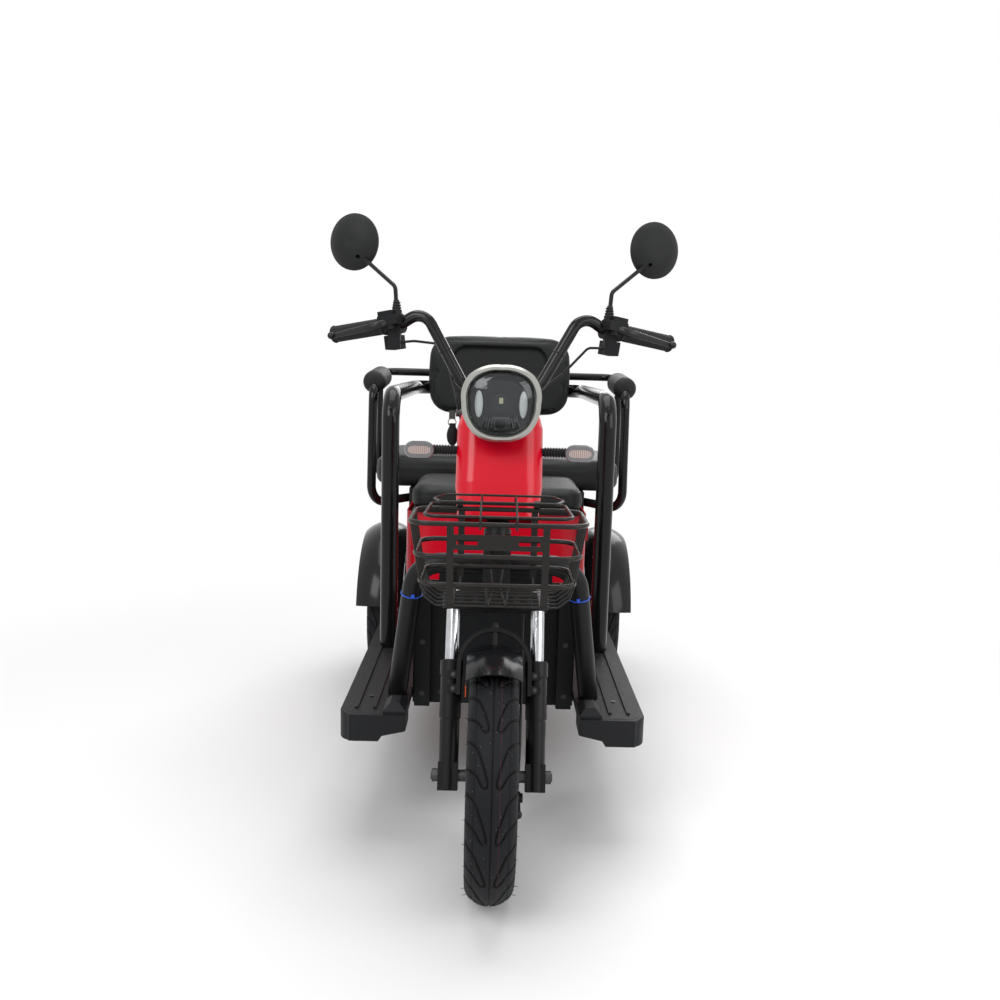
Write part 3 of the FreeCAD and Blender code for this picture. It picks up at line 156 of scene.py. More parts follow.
BOLT = material("bolt zinc", (0.36, 0.36, 0.34), 0.34, metal=0.8, vary=0.15)
DARK_BOLT = material("bolt black", (0.03, 0.03, 0.03), 0.35, metal=0.4)
BAR_PALE = material("lamp bar", (0.55, 0.56, 0.54), 0.3, vary=0.03, emission=0.25)
LED = material("lamp diode", (0.5, 0.47, 0.28), 0.4, vary=0.05, emission=0.12)
FIN = material("lamp fin", (0.075, 0.078, 0.068), 0.35, vary=0.1)
BLUE_TIE = material("blue tie", (0.02, 0.09, 0.55), 0.4, vary=0.1)
SPRING = material("spring steel", (0.12, 0.12, 0.125), 0.35, metal=0.5)
RIM_LOOK = material("signal rim", (0.16, 0.16, 0.165), 0.25, coat=0.4, vary=0.1)
ORANGE = material("orange mark", (0.75, 0.10, 0.015), 0.4, vary=0.1)
RED_BUTTON = material("red button", (0.5, 0.02, 0.02), 0.4, vary=0.1)

# Painted shade darkens the rubber in its grooves, the more the deeper they are cut. The front tyre has a
# faded line and specks of dirt.
GROOVE_SHADE_COLOR = (0.0015, 0.0015, 0.0017, 1.0)
LINE_COLOR = (0.055, 0.018, 0.028, 1.0)
LINE_AT, LINE_HALF_WIDE = 0.0125, 0.0008
DIRT_COLOR = (0.15, 0.15, 0.14, 1.0)
SPECK_SCALE, SPECK_R = 170.0, 0.11
PATCH_SCALE, PATCH_FROM = 60.0, 0.56


def math_node(tree, operation, *values):
    """The output of a math node that is fed with sockets and numbers."""
    node = tree.nodes.new("ShaderNodeMath")
    node.operation = operation
    for socket, value in zip(node.inputs, values):
        if isinstance(value, bpy.types.NodeSocket):
            tree.links.new(value, socket)
        else:
            socket.default_value = value
    return node.outputs["Value"]


def paint_over(m, factor, color):
    """Lays a colour over a material where the factor is high."""
    tree = m.node_tree
    base = tree.nodes["Principled BSDF"].inputs["Base Color"]
    mix = tree.nodes.new("ShaderNodeMix")
    mix.data_type = "RGBA"
    mix.inputs["B"].default_value = color
    tree.links.new(factor, mix.inputs["Factor"])
    tree.links.new(base.links[0].from_socket, mix.inputs["A"])
    tree.links.new(mix.outputs["Result"], base)


def paint_groove_shade(m):
    # Painted shade: near black where the tyre's groove attribute is high
    groove = m.node_tree.nodes.new("ShaderNodeAttribute")
    groove.attribute_name = "groove"
    paint_over(m, groove.outputs["Fac"], GROOVE_SHADE_COLOR)


def front_tyre_look():
    """The same rubber with a thin faded line and a few pale specks of dirt."""
    m = LOOKS["tyre"].copy()
    m.name = "front tyre rubber"
    tree = m.node_tree
    coords = tree.nodes.new("ShaderNodeTexCoord")
    axes = tree.nodes.new("ShaderNodeSeparateXYZ")
    dots = tree.nodes.new("ShaderNodeTexVoronoi")
    dots.inputs["Scale"].default_value = SPECK_SCALE
    patch = tree.nodes.new("ShaderNodeTexNoise")
    patch.inputs["Scale"].default_value = PATCH_SCALE
    for node in (axes, dots, patch):
        tree.links.new(coords.outputs["Object"], node.inputs["Vector"])
    line = math_node(tree, "COMPARE", axes.outputs["X"], LINE_AT, LINE_HALF_WIDE)
    speck = math_node(tree, "LESS_THAN", dots.outputs["Distance"], SPECK_R)
    some = math_node(tree, "GREATER_THAN", patch.outputs["Fac"], PATCH_FROM)
    paint_over(m, math_node(tree, "MULTIPLY", line, patch.outputs["Fac"]), LINE_COLOR)
    paint_over(m, math_node(tree, "MULTIPLY", speck, some), DIRT_COLOR)
    return m


paint_groove_shade(LOOKS["tyre"])

slot_of = {p["node"]: p["material_slot"] for p in frame["record"]["subparts"]}
for node, obj in frame["nodes"].items():
    obj.data.materials.clear()
    obj.data.materials.append(LOOKS[slot_of[node]])


# Tyres with their tread, in millimetres: each groove has its width and depth
TREAD_REPEATS = 15
TREAD_STEPS = 42      # round each repeat
TREAD_ABOVE = 170.0                        # the smooth wall lies within this radius
LEAF = ((41.0, 0.0), (24.0, 20.0), (13.0, 50.0), (7.0, 72.0), (8.0, 78.0), (12.0, 80.0), (17.0, 75.0),
        (24.0, 62.0), (41.0, 46.0))
LEAF_GROOVE = (2.6, 3.0)
CENTRE_GROOVE = (2.2, 2.6)
SHOULDER_GROOVE = (1.2, 1.6)
SHOULDER_AT = 27.0
GROOVE_WALL, GROOVE_EDGE = 1.2, 0.7        # width of a groove's sloping wall, and how far it lies outside
# Painted shade in the grooves: full from this depth, less in shallower cuts
GROOVE_FULL_SHADE = 2.0                          # a groove is fully dark from this depth
CROWN_CURVE = 60.0                         # grooves are cut square to a crown of this radius


def arc_points(p, m, q, count):
    """Points from p to q on the circle through p, m and q, without q."""
    ax, ay, bx, by, cx, cy = p[0], p[1], m[0], m[1], q[0], q[1]
    d = 2.0 * (ax * (by - cy) + bx * (cy - ay) + cx * (ay - by))
    aa, bb, cc = ax * ax + ay * ay, bx * bx + by * by, cx * cx + cy * cy
    ux = (aa * (by - cy) + bb * (cy - ay) + cc * (ay - by)) / d
    uy = (aa * (cx - bx) + bb * (ax - cx) + cc * (bx - ax)) / d
    r = math.hypot(ax - ux, ay - uy)
    a0, a1 = math.atan2(ay - uy, ax - ux), math.atan2(cy - uy, cx - ux)
    am = math.atan2(by - uy, bx - ux)
    if not min(a0, a1) <= am <= max(a0, a1):
        a1 += math.copysign(FULL_TURN, a0 - a1)
    return [(ux + r * math.cos(a0 + (a1 - a0) * i / count), uy + r * math.sin(a0 + (a1 - a0) * i / count))
            for i in range(count)]


def tyre_section():
    """Half width and radius of the points round the section."""
    half = [(28.0, 128.0), (28.0, 138.0)]
    half += arc_points((28, 138), (37.5, 148), (40, 166), 5)[1:]
    half += arc_points((40, 166), (39, 180), (33, 190), 10)
    crown = arc_points((33, 190), (0, 203), (-33, 190), 44)
    other = [(-x, r) for x, r in reversed(half)]
    return half + crown + [(-33.0, 190.0)] + other


def cut_depth(x, s, pitch):
    """How deep the tread is cut at x across and s around."""
    def dip(distance, groove):
        width, depth = groove
        return depth * max(0.0, min(1.0, (width / 2.0 + GROOVE_EDGE - distance) / GROOVE_WALL))
    side = abs(x)
    deepest = max(dip(side, CENTRE_GROOVE), dip(abs(side - SHOULDER_AT), SHOULDER_GROOVE))
    for shift in (-pitch, 0.0, pitch):
        for (x0, s0), (x1, s1) in zip(LEAF, LEAF[1:]):
            dx, ds = x1 - x0, s1 - s0
            t = max(0.0, min(1.0, ((side - x0) * dx + (s - s0 - shift) * ds) / (dx * dx + ds * ds)))
            gap = math.hypot(side - x0 - t * dx, s - s0 - shift - t * ds)
            deepest = max(deepest, dip(gap, LEAF_GROOVE))
    return deepest


def tyre(name, node, body, x, y, look):
    section = tyre_section()
    count = len(section)
    steps = TREAD_STEPS * TREAD_REPEATS
    pitch = FULL_TURN * TYRE_R * MM_PER_M / TREAD_REPEATS
    depths = [[cut_depth(px, pitch * j / TREAD_STEPS, pitch) if pr > TREAD_ABOVE else 0.0
               for px, pr in section] for j in range(TREAD_STEPS)]
    verts, faces = [], []
    for j in range(steps):
        angle = FULL_TURN * j / steps
        k = (j + 1) % steps
        for i, ((px, pr), depth) in enumerate(zip(section, depths[j % TREAD_STEPS])):
            nx = px / CROWN_CURVE
            r = pr - depth * math.sqrt(max(0.0, 1.0 - nx * nx))
            verts.append((x + (px - depth * nx) / MM_PER_M, y - r / MM_PER_M * math.sin(angle),
                          TYRE_R + r / MM_PER_M * math.cos(angle)))
            n = (i + 1) % count
            faces.append((j * count + i, k * count + i, k * count + n, j * count + n))
    mesh = bpy.data.meshes.new(name)
    mesh.from_pydata(verts, [], faces)
    mesh.update()
    # groove: the share of painted shade at each point, from the depth of its cut
    groove = mesh.attributes.new("groove", "FLOAT", "POINT")
    groove.data.foreach_set("value", [min(1.0, depth / GROOVE_FULL_SHADE)
                                      for j in range(steps) for depth in depths[j % TREAD_STEPS]])
    for poly in mesh.polygons:
        poly.use_smooth = True
    obj = bpy.data.objects.new(name, mesh)
    scene.collection.objects.link(obj)
    bm = bmesh.new()
    bm.from_mesh(mesh)
    bmesh.ops.recalc_face_normals(bm, faces=bm.faces)
    bm.to_mesh(mesh)
    bm.free()
    mesh.materials.append(look)
    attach(obj, body)
    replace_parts(obj, node)


tyre("front_tyre_tread", "front_tyre", "front_wheel", 0.0, AXLE_Y, front_tyre_look())
tyre("rear_tyre_tread_left", "rear_tyre_left", "wheel_left", -REAR_HALF_TRACK, REAR_Y, LOOKS["tyre"])
tyre("rear_tyre_tread_right", "rear_tyre_right", "wheel_right", REAR_HALF_TRACK, REAR_Y, LOOKS["tyre"])


# Cushions: the solid, shrunk, meshed anew and swollen by a short cloth run, with its sewn lines
CLOTH_FRAMES = 20
CLOTH_QUALITY = 4
CLOTH_MASS = 0.3
SEAM_W = 0.004
SEAM_DEPTH = 0.0022
SEAM_REACH = 0.02          # a sewn line marks this depth of the cushion's sides or face


def baked(obj):
    """Gives an object the mesh that its modifiers make."""
    graph = bpy.context.evaluated_depsgraph_get()
    mesh = bpy.data.meshes.new_from_object(obj.evaluated_get(graph))
    obj.modifiers.clear()
    obj.data = mesh
    return mesh


def cushion(name, node, body, voxel, shrink, cap, pressure, seam, floor=None):
    """The cap limits how far a point moves, and no point goes below the floor."""
    obj = bpy.data.objects.new(name, frame["nodes"][node].data.copy())
    scene.collection.objects.link(obj)
    lo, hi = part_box(node)
    centre = [(a + b) / 2.0 for a, b in zip(lo, hi)]
    for v in obj.data.vertices:
        for k in range(3):
            size = hi[k] - lo[k]
            v.co[k] = centre[k] + (v.co[k] - centre[k]) * (1.0 - 2.0 * shrink / size)
    remesh = obj.modifiers.new("voxels", "REMESH")
    remesh.mode = "VOXEL"
    remesh.voxel_size = voxel
    mesh = baked(obj)
    rest = [v.co.copy() for v in mesh.vertices]
    cloth = obj.modifiers.new("cloth", "CLOTH")
    cloth.settings.quality = CLOTH_QUALITY
    cloth.settings.mass = CLOTH_MASS
    cloth.settings.use_pressure = True
    cloth.settings.uniform_pressure_force = pressure
    cloth.settings.effector_weights.gravity = 0.0
    cloth.point_cache.frame_start, cloth.point_cache.frame_end = 1, CLOTH_FRAMES
    for frame_no in range(1, CLOTH_FRAMES + 1):
        scene.frame_set(frame_no)
    mesh = baked(obj)
    scene.frame_set(1)
    for v, start in zip(mesh.vertices, rest):
        move = v.co - start
        if move.length > cap:
            v.co = start + move.normalized() * cap
        if floor is not None:
            v.co.z = max(v.co.z, floor)
        v.co += seam(v.co)
    subdivided = obj.modifiers.new("smooth", "SUBSURF")
    subdivided.levels = subdivided.render_levels = 1
    for poly in mesh.polygons:
        poly.use_smooth = True
    obj.data.materials.clear()
    obj.data.materials.append(LOOKS["vinyl"])
    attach(obj, body)
    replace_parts(obj, node)


def level_seam(node, below):
    """A sewn line round the sides, that far below the top."""
    (x0, y0, _), (x1, y1, top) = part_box(node)
    middle = Vector(((x0 + x1) / 2.0, (y0 + y1) / 2.0, 0.0))

    def push(at):
        near = max(0.0, 1.0 - abs(at.z - top + below) / SEAM_W)
        inwards = Vector((middle.x - at.x, middle.y - at.y, 0.0))
        on_side = min(x1 - at.x, at.x - x0, at.y - y0, y1 - at.y) < SEAM_REACH
        return inwards.normalized() * SEAM_DEPTH * near if on_side else Vector((0.0, 0.0, 0.0))
    return push


def face_seam(node, inset, radius):
    """A sewn line on the front face, along its rounded edge."""
    (x0, y0, z0), (x1, _, z1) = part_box(node)
    mx, mz, w, h = (x0 + x1) / 2.0, (z0 + z1) / 2.0, (x1 - x0) / 2.0 - radius, (z1 - z0) / 2.0 - radius

    def push(at):
        dx, dz = max(abs(at.x - mx) - w, 0.0), max(abs(at.z - mz) - h, 0.0)
        gap = min(max(abs(at.x - mx) - w, abs(at.z - mz) - h), 0.0) + math.hypot(dx, dz) - radius
        near = max(0.0, 1.0 - abs(gap + inset) / SEAM_W)
        return Vector((0.0, SEAM_DEPTH * near, 0.0)) if at.y < y0 + SEAM_REACH else Vector((0.0, 0.0, 0.0))
    return push


cushion("seat_cushion", "driver_seat", "seat", voxel=0.006, shrink=0.004, cap=0.006, pressure=3.0,
        seam=level_seam("driver_seat", 0.019), floor=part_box("driver_seat")[0][2])
cushion("bench_cushion", "rear_bench", "chassis", voxel=0.008, shrink=0.004, cap=0.006, pressure=3.0,
        seam=level_seam("rear_bench", 0.024), floor=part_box("rear_bench")[0][2])
cushion("back_cushion", "backrest", "chassis", voxel=0.005, shrink=0.003, cap=0.003, pressure=1.5,
        seam=face_seam("backrest", 0.014, 0.06))


def circle(count):
    """Cosine and sine of equal steps round a circle."""
    return [(math.cos(FULL_TURN * i / count), math.sin(FULL_TURN * i / count)) for i in range(count)]


class Pile:
    """Simple forms that are heaped up in one mesh, which becomes one piece."""

    def __init__(self):
        self.bm = bmesh.new()

    def rod(self, a, b, r0, r1=None, sides=12):
        a, b = Vector(a), Vector(b)
        turn = (b - a).to_track_quat("Z", "Y").to_matrix().to_4x4()
        at = Matrix.Translation((a + b) / 2.0) @ turn
        bmesh.ops.create_cone(self.bm, cap_ends=True, segments=sides, radius1=r0,
                              radius2=r0 if r1 is None else r1, depth=(b - a).length, matrix=at)

    def box(self, centre, size, turn=None):
        at = Matrix.Translation(centre) @ (turn or Matrix()) @ Matrix.Diagonal((*size, 1.0))
        bmesh.ops.create_cube(self.bm, size=1.0, matrix=at)

    def ball(self, centre, size):
        at = Matrix.Translation(centre) @ Matrix.Diagonal((*size, 1.0))
        bmesh.ops.create_uvsphere(self.bm, u_segments=20, v_segments=12, radius=1.0, matrix=at)

    def ring(self, centre, axis, major, minor, around=28, sides=8):
        turn = Vector(axis).to_track_quat("Z", "Y")
        loops = []
        for c, s in circle(around):
            out = Vector((c, s, 0.0))
            loops.append([self.bm.verts.new(Vector(centre) + turn @ (
                out * (major + minor * cs) + Vector((0.0, 0.0, minor * sn)))) for cs, sn in circle(sides)])
        self.skin(loops, True)

    def tube(self, points, radius, sides=8, flat=1.0, taper=1.0):
        loops = []
        for i, p in enumerate(points):
            ahead = Vector(points[min(i + 1, len(points) - 1)]) - Vector(points[max(i - 1, 0)])
            turn = ahead.to_track_quat("Z", "Y")
            r = radius * (1.0 + (taper - 1.0) * i / (len(points) - 1))
            loops.append([self.bm.verts.new(Vector(p) + turn @ Vector((r * flat * c, r * s, 0.0)))
                          for c, s in circle(sides)])
        self.skin(loops, False)
        self.bm.faces.new(loops[0])
        self.bm.faces.new(loops[-1])

    def skin(self, loops, closed):
        """Faces from loop to loop, and from the last to the first where closed."""
        for i in range(len(loops) if closed else len(loops) - 1):
            a, b = loops[i], loops[(i + 1) % len(loops)]
            for j in range(len(a)):
                k = (j + 1) % len(a)
                self.bm.faces.new((a[j], a[k], b[k], b[j]))

    def done(self, name, body, look, slot):
        bmesh.ops.recalc_face_normals(self.bm, faces=self.bm.faces)
        mesh = bpy.data.meshes.new(name)
        self.bm.to_mesh(mesh)
        self.bm.free()
        obj = bpy.data.objects.new(name, mesh)
        scene.collection.objects.link(obj)
        mesh.materials.append(look)
        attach(obj, body)
        return obj


def smooth(points, rounds=3):
    """Cuts the corners of a line of points, and keeps its ends."""
    for _ in range(rounds):
        cut = [Vector(points[0])]
        for a, b in zip(points, points[1:]):
            a, b = Vector(a), Vector(b)
            cut += [a.lerp(b, 0.25), a.lerp(b, 0.75)]
        points = cut + [Vector(points[-1])]
    return points


def up_axis(x, y, z):
    """A point of the steering frame, in millimetres, as a point of the row frame."""
    origin = Vector((0.0, AXLE_Y + FORK_OFFSET * math.cos(RAKE), TYRE_R - FORK_OFFSET * math.sin(RAKE)))
    turned = Vector((x, y * math.cos(RAKE) + z * math.sin(RAKE), z * math.cos(RAKE) - y * math.sin(RAKE)))
    return turned / MM_PER_M + origin


def sided(at, side):
    """A point that is given for the viewer's right, on either side."""
    return Vector((at[0] * side, at[1], at[2]))


def reshaped(node, suffix, move):
    """A copy of a solid of the steered part with its points moved."""
    mesh = frame["nodes"][node].data.copy()
    for v in mesh.vertices:
        v.co = move(v.co)
    obj = bpy.data.objects.new(node + suffix, mesh)
    scene.collection.objects.link(obj)
    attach(obj, "steering")
    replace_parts(obj, node)


# Headlamp: a squared circle, domed glass, and what shows through it
LAMP = Vector((0.0, AXLE_Y + 0.120, 0.828))
LAMP_IN = 0.024            # the bowl's floor, behind the lamp's face
LAMP_WIDEN = 1.065         # the photo shows the lamp this much wider than its solids
LAMP_HALF = (0.058 * LAMP_WIDEN, 0.0555)
LAMP_SQUARE = 0.8
LAMP_TAPER = 0.06
LAMP_RINGS = 12
LAST_RING = 0.4            # the rings stop this share of a step before the middle
DOME_SKINS = ((0.0195, 0.009), (0.0180, 0.0088))       # depth and back of the outer and inner skin
LAMP_BAR_X = 0.039
FIN_PITCH, FIN_LEAN, FIN_RISE = 0.0052, -0.05, 0.0009


def lamp_rim(share, y, sides=72):
    """Points of the lamp's squared circle, narrower towards its foot."""
    out = []
    for c, t in circle(sides):
        x, z = math.copysign(abs(c) ** LAMP_SQUARE, c), math.copysign(abs(t) ** LAMP_SQUARE, t)
        wide = share * LAMP_HALF[0] * x * (1.0 - LAMP_TAPER * (1.0 - z))
        out.append(LAMP + Vector((wide, y, share * LAMP_HALF[1] * z)))
    return out


def dome_skin(depth, back):
    """Share of the width and place of the dome's rings, from the rim to the middle."""
    turns = [0.5 * math.pi * (LAMP_RINGS - i - LAST_RING) / LAMP_RINGS for i in range(LAMP_RINGS)]
    return [(math.sin(turn), back - depth * math.cos(turn)) for turn in turns]


dome = Pile()
outside, inside = (dome_skin(depth, back) for depth, back in DOME_SKINS)
loops = [[dome.bm.verts.new(p) for p in lamp_rim(share, y)] for share, y in outside + inside[::-1]]
dome.skin(loops, True)
middle = len(outside) - 1
dome.bm.faces.new(loops[middle])
dome.bm.faces.new(loops[middle + 1])
dome.bm.faces.ensure_lookup_table()
inner_rings = loops[middle] + loops[middle + 1]
between = [f for f in dome.bm.faces if all(v in inner_rings for v in f.verts) and len(f.verts) == 4]
bmesh.ops.delete(dome.bm, geom=between, context="FACES_ONLY")
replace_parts(dome.done("lens_dome", "steering", LOOKS["lens_clear"], "lens_clear"), "headlamp_lens")

lamp = Pile()
for side in SIDES:
    lamp.ball(LAMP + Vector((side * LAMP_BAR_X, LAMP_IN - 0.003, -0.002)), (0.0072, 0.004, 0.0235))
lamp.done("lamp_bars", "steering", BAR_PALE, "signal_clear")
lamp = Pile()
lamp.box(LAMP + Vector((0.0, LAMP_IN + 0.004, 0.004)), (0.007, 0.006, 0.010))
lamp.done("lamp_diode", "steering", LED, "signal_clear")
lamp = Pile()
for i in range(-6, 7):
    if abs(i) > 1:
        lamp.box(LAMP + Vector((FIN_PITCH * i, LAMP_IN + 0.003, -0.0395 + FIN_RISE * abs(i))),
                 (0.0014, 0.008, 0.017), Matrix.Rotation(FIN_LEAN * i, 4, "Y"))
lamp.box(LAMP + Vector((0.0, LAMP_IN + 0.002, -0.0265)), (0.030, 0.010, 0.0035))
lamp.done("lamp_fins", "steering", FIN, "dark_plastic")
for node in ("headlamp_bezel", "headlamp_bowl"):
    reshaped(node, "_wide", lambda at: Vector((at.x * LAMP_WIDEN, at.y, at.z)))

# Ribbed boots of the turn signals and ribs of the grips
SIGNAL_Z = 0.738
BOOT_FROM, BOOT_PITCH, BOOT_RIBS = 0.0835, 0.0052, 8
HAND_TIP, HAND_IN = Vector((0.330, AXLE_Y + 0.378, 0.945)), Vector((0.190, AXLE_Y + 0.308, 0.968))
GRIP_RIBS, GRIP_FROM, GRIP_PITCH = 26, 0.006, 0.0042
COLLAR_AT = 0.117

boots = Pile()
for side in SIDES:
    for i in range(BOOT_RIBS):
        boots.ring((side * (BOOT_FROM + BOOT_PITCH * i), AXLE_Y + 0.202, SIGNAL_Z), (1, 0, 0), 0.0078, 0.0017)
boots.done("signal_boots", "steering", LOOKS["grip_rubber"], "grip_rubber")

grip_rings = Pile()
for side in SIDES:
    tip = sided(HAND_TIP, side)
    along = (sided(HAND_IN, side) - tip).normalized()
    for i in range(GRIP_RIBS):
        grip_rings.ring(tip + along * (GRIP_FROM + GRIP_PITCH * i), along, 0.0152, 0.0010, 24, 6)
    grip_rings.ring(tip - along * 0.001, along, 0.0148, 0.0026, 24, 8)
    grip_rings.ring(tip + along * COLLAR_AT, along, 0.0152, 0.0030, 24, 8)
grip_rings.done("grip_ribs", "steering", LOOKS["grip_rubber"], "grip_rubber")

# Key with its ring and fob, in the side of the column cover
KEY = Vector((-0.083, AXLE_Y + 0.270, 0.802))
key = Pile()
key.rod(KEY + Vector((0.020, 0, 0)), KEY + Vector((-0.001, 0, 0)), 0.007, sides=20)
key.box(KEY + Vector((-0.008, 0, -0.004)), (0.012, 0.0022, 0.016))
key.ring(KEY + Vector((-0.008, 0, -0.018)), (0, 1, 0), 0.0075, 0.0008)
key.done("key", "steering", LOOKS["zinc"], "zinc")
fob = Pile()
fob.ball(KEY + Vector((-0.007, 0.002, -0.043)), (0.011, 0.006, 0.020))
fob.box(KEY + Vector((-0.007, 0.002, -0.026)), (0.012, 0.008, 0.012))
fob.done("key_fob", "steering", LOOKS["dark_plastic"], "dark_plastic")

# Ties round the legs of the riser and of the front hoop
RISER_LOW, RISER_HIGH = Vector((0.070, AXLE_Y + 0.281, 0.850)), Vector((0.150, AXLE_Y + 0.300, 0.994))
HOOP_HIGH, HOOP_LOW = Vector((0.150, AXLE_Y + 0.204, 0.526)), Vector((0.188, AXLE_Y + 0.262, 0.250))
RISER_TIE, HOOP_TIE = 0.47, 0.23           # shares of the way along the leg

ties = Pile()
for side in SIDES:
    low, high = sided(RISER_LOW, side), sided(RISER_HIGH, side)
    ties.ring(low.lerp(high, RISER_TIE), high - low, 0.0118, 0.0011)
ties.done("cable_ties", "steering", LOOKS["cable_black"], "cable_black")
ties = Pile()
for side in SIDES:
    high, low = sided(HOOP_HIGH, side), sided(HOOP_LOW, side)
    at = high.lerp(low, HOOP_TIE)
    ties.ring(at, low - high, 0.0196, 0.0013)
    ties.box(at + Vector((side * -0.004, -0.0205, 0.0)), (0.006, 0.004, 0.006))
ties.done("hoop_ties", "chassis", BLUE_TIE, "cable_black")

# Bolts and screws, each with a flat collar: spots are places with the way out
BOLT_SUNK = 0.0005
COLLAR_HIGH, COLLAR_WIDE = 0.3, 1.35       # shares of the bolt's height and radius
ROUND_HEAD = 16
HUB_BOLT_R = 0.022
REAR_HUB_X, FRONT_HUB_X = 0.330, -0.030


def bolts(name, body, look, slot, spots, radius, height, sides=6):
    pile = Pile()
    for at, out in spots:
        at, out = Vector(at), Vector(out).normalized()
        pile.rod(at - out * BOLT_SUNK, at + out * height * COLLAR_HIGH, radius * COLLAR_WIDE, sides=18)
        pile.rod(at, at + out * height, radius, sides=sides)
    pile.done(name, body, look, slot)


def hub_spots(x, y, out):
    """Five bolts round the middle of a wheel."""
    return [((x, y + HUB_BOLT_R * s, TYRE_R + HUB_BOLT_R * c), (out, 0, 0)) for c, s in circle(5)]


front = up_axis(0, -1, 0) - up_axis(0, 0, 0)
bolts("brace_bolts", "steering", LOOKS["zinc"], "zinc",
      [(up_axis(x, -55.0, z), front) for x in (-70, 70) for z in (144, 168)], 0.0027, 0.003)
bolts("crown_bolts", "steering", DARK_BOLT, "fork_black",
      [(up_axis(x, -50.0, 297), front) for x in (-60, -36, 36, 60)], 0.0045, 0.004)
bolts("clamp_bolts", "steering", DARK_BOLT, "black_steel",
      [((x, AXLE_Y + 0.281, 0.868), (0, 0, 1)) for x in (-0.020, 0.020)], 0.0045, 0.004)
bolts("cover_screws", "steering", DARK_BOLT, "black_steel",
      [(up_axis(s * 78.6, 20, z), up_axis(s, 0, 0) - up_axis(0, 0, 0)) for s in (-1, 1) for z in (500, 590)],
      0.0035, 0.0018, ROUND_HEAD)
for side, body in zip(SIDES, ("wheel_left", "wheel_right")):
    bolts("hub_bolts_" + body, body, BOLT, "zinc", hub_spots(side * REAR_HUB_X, REAR_Y, side), 0.0035, 0.004)
bolts("hub_bolts_front", "front_wheel", BOLT, "zinc", hub_spots(FRONT_HUB_X, AXLE_Y, -1), 0.0035, 0.004)
bolts("board_screws", "chassis", DARK_BOLT, "black_steel",
      [((s * x, AXLE_Y + y, 0.250), (0, 0, 1)) for s in SIDES
       for x, y in ((0.235, 0.240), (0.235, 0.520), (0.200, 0.800))], 0.0040, 0.002, ROUND_HEAD)
bolts("shield_screws", "chassis", DARK_BOLT, "black_steel",
      [((x, AXLE_Y + 0.300, z), (0, -1, 0)) for x in (-0.105, 0.105) for z in (0.240, 0.440)] +
      [((x, AXLE_Y + 0.278, z), (0, -1, 0)) for x in (-0.141, 0.141) for z in (0.245, 0.350)],
      0.0040, 0.002, ROUND_HEAD)
bolts("box_screws", "chassis", DARK_BOLT, "black_steel",
      [((x, AXLE_Y + 1.244, z), (0, 1, 0)) for x in (-0.205, -0.07, 0.07, 0.205) for z in (0.350, 0.550)],
      0.0038, 0.002, ROUND_HEAD)
bolts("plate_bolts", "chassis", BOLT, "zinc",
      [((x, AXLE_Y + 1.230, z), (0, -1, 0)) for x in (-0.090, 0.090) for z in (0.842, 0.858)], 0.004, 0.003)
bolts("guard_bolts", "chassis", DARK_BOLT, "black_steel",
      [((s * 0.236, REAR_Y + y, TYRE_R + 0.205), (0, 0, 1)) for s in SIDES for y in (-0.040, 0.040)],
      0.0045, 0.003)

# Controls: levers, brackets, switches, mirror boots and wires, placed from a point of the bar inside the grip
TIP_TO_LEVER = 0.139
GRIP_RUN = (HAND_TIP - HAND_IN).normalized()
HAND_MID = HAND_TIP - GRIP_RUN * TIP_TO_LEVER
BRACKET_SWING, BRACKET_TILT = 0.46, 0.15
WIRE_AHEAD = Vector((0.0, -0.0125, -0.003))         # the wires run in front of the bar
WIRE_BENDS = [Vector((x, AXLE_Y + y, z)) + WIRE_AHEAD for x, y, z in (
    (0.163, 0.3025, 0.985), (0.143, 0.2985, 0.978), (0.110, 0.2905, 0.922), (0.083, 0.2840, 0.874))]
BOOT_STEPS = 4


def from_hand(x, y, z, side):
    return sided(HAND_MID + Vector((x, y, z)), side)


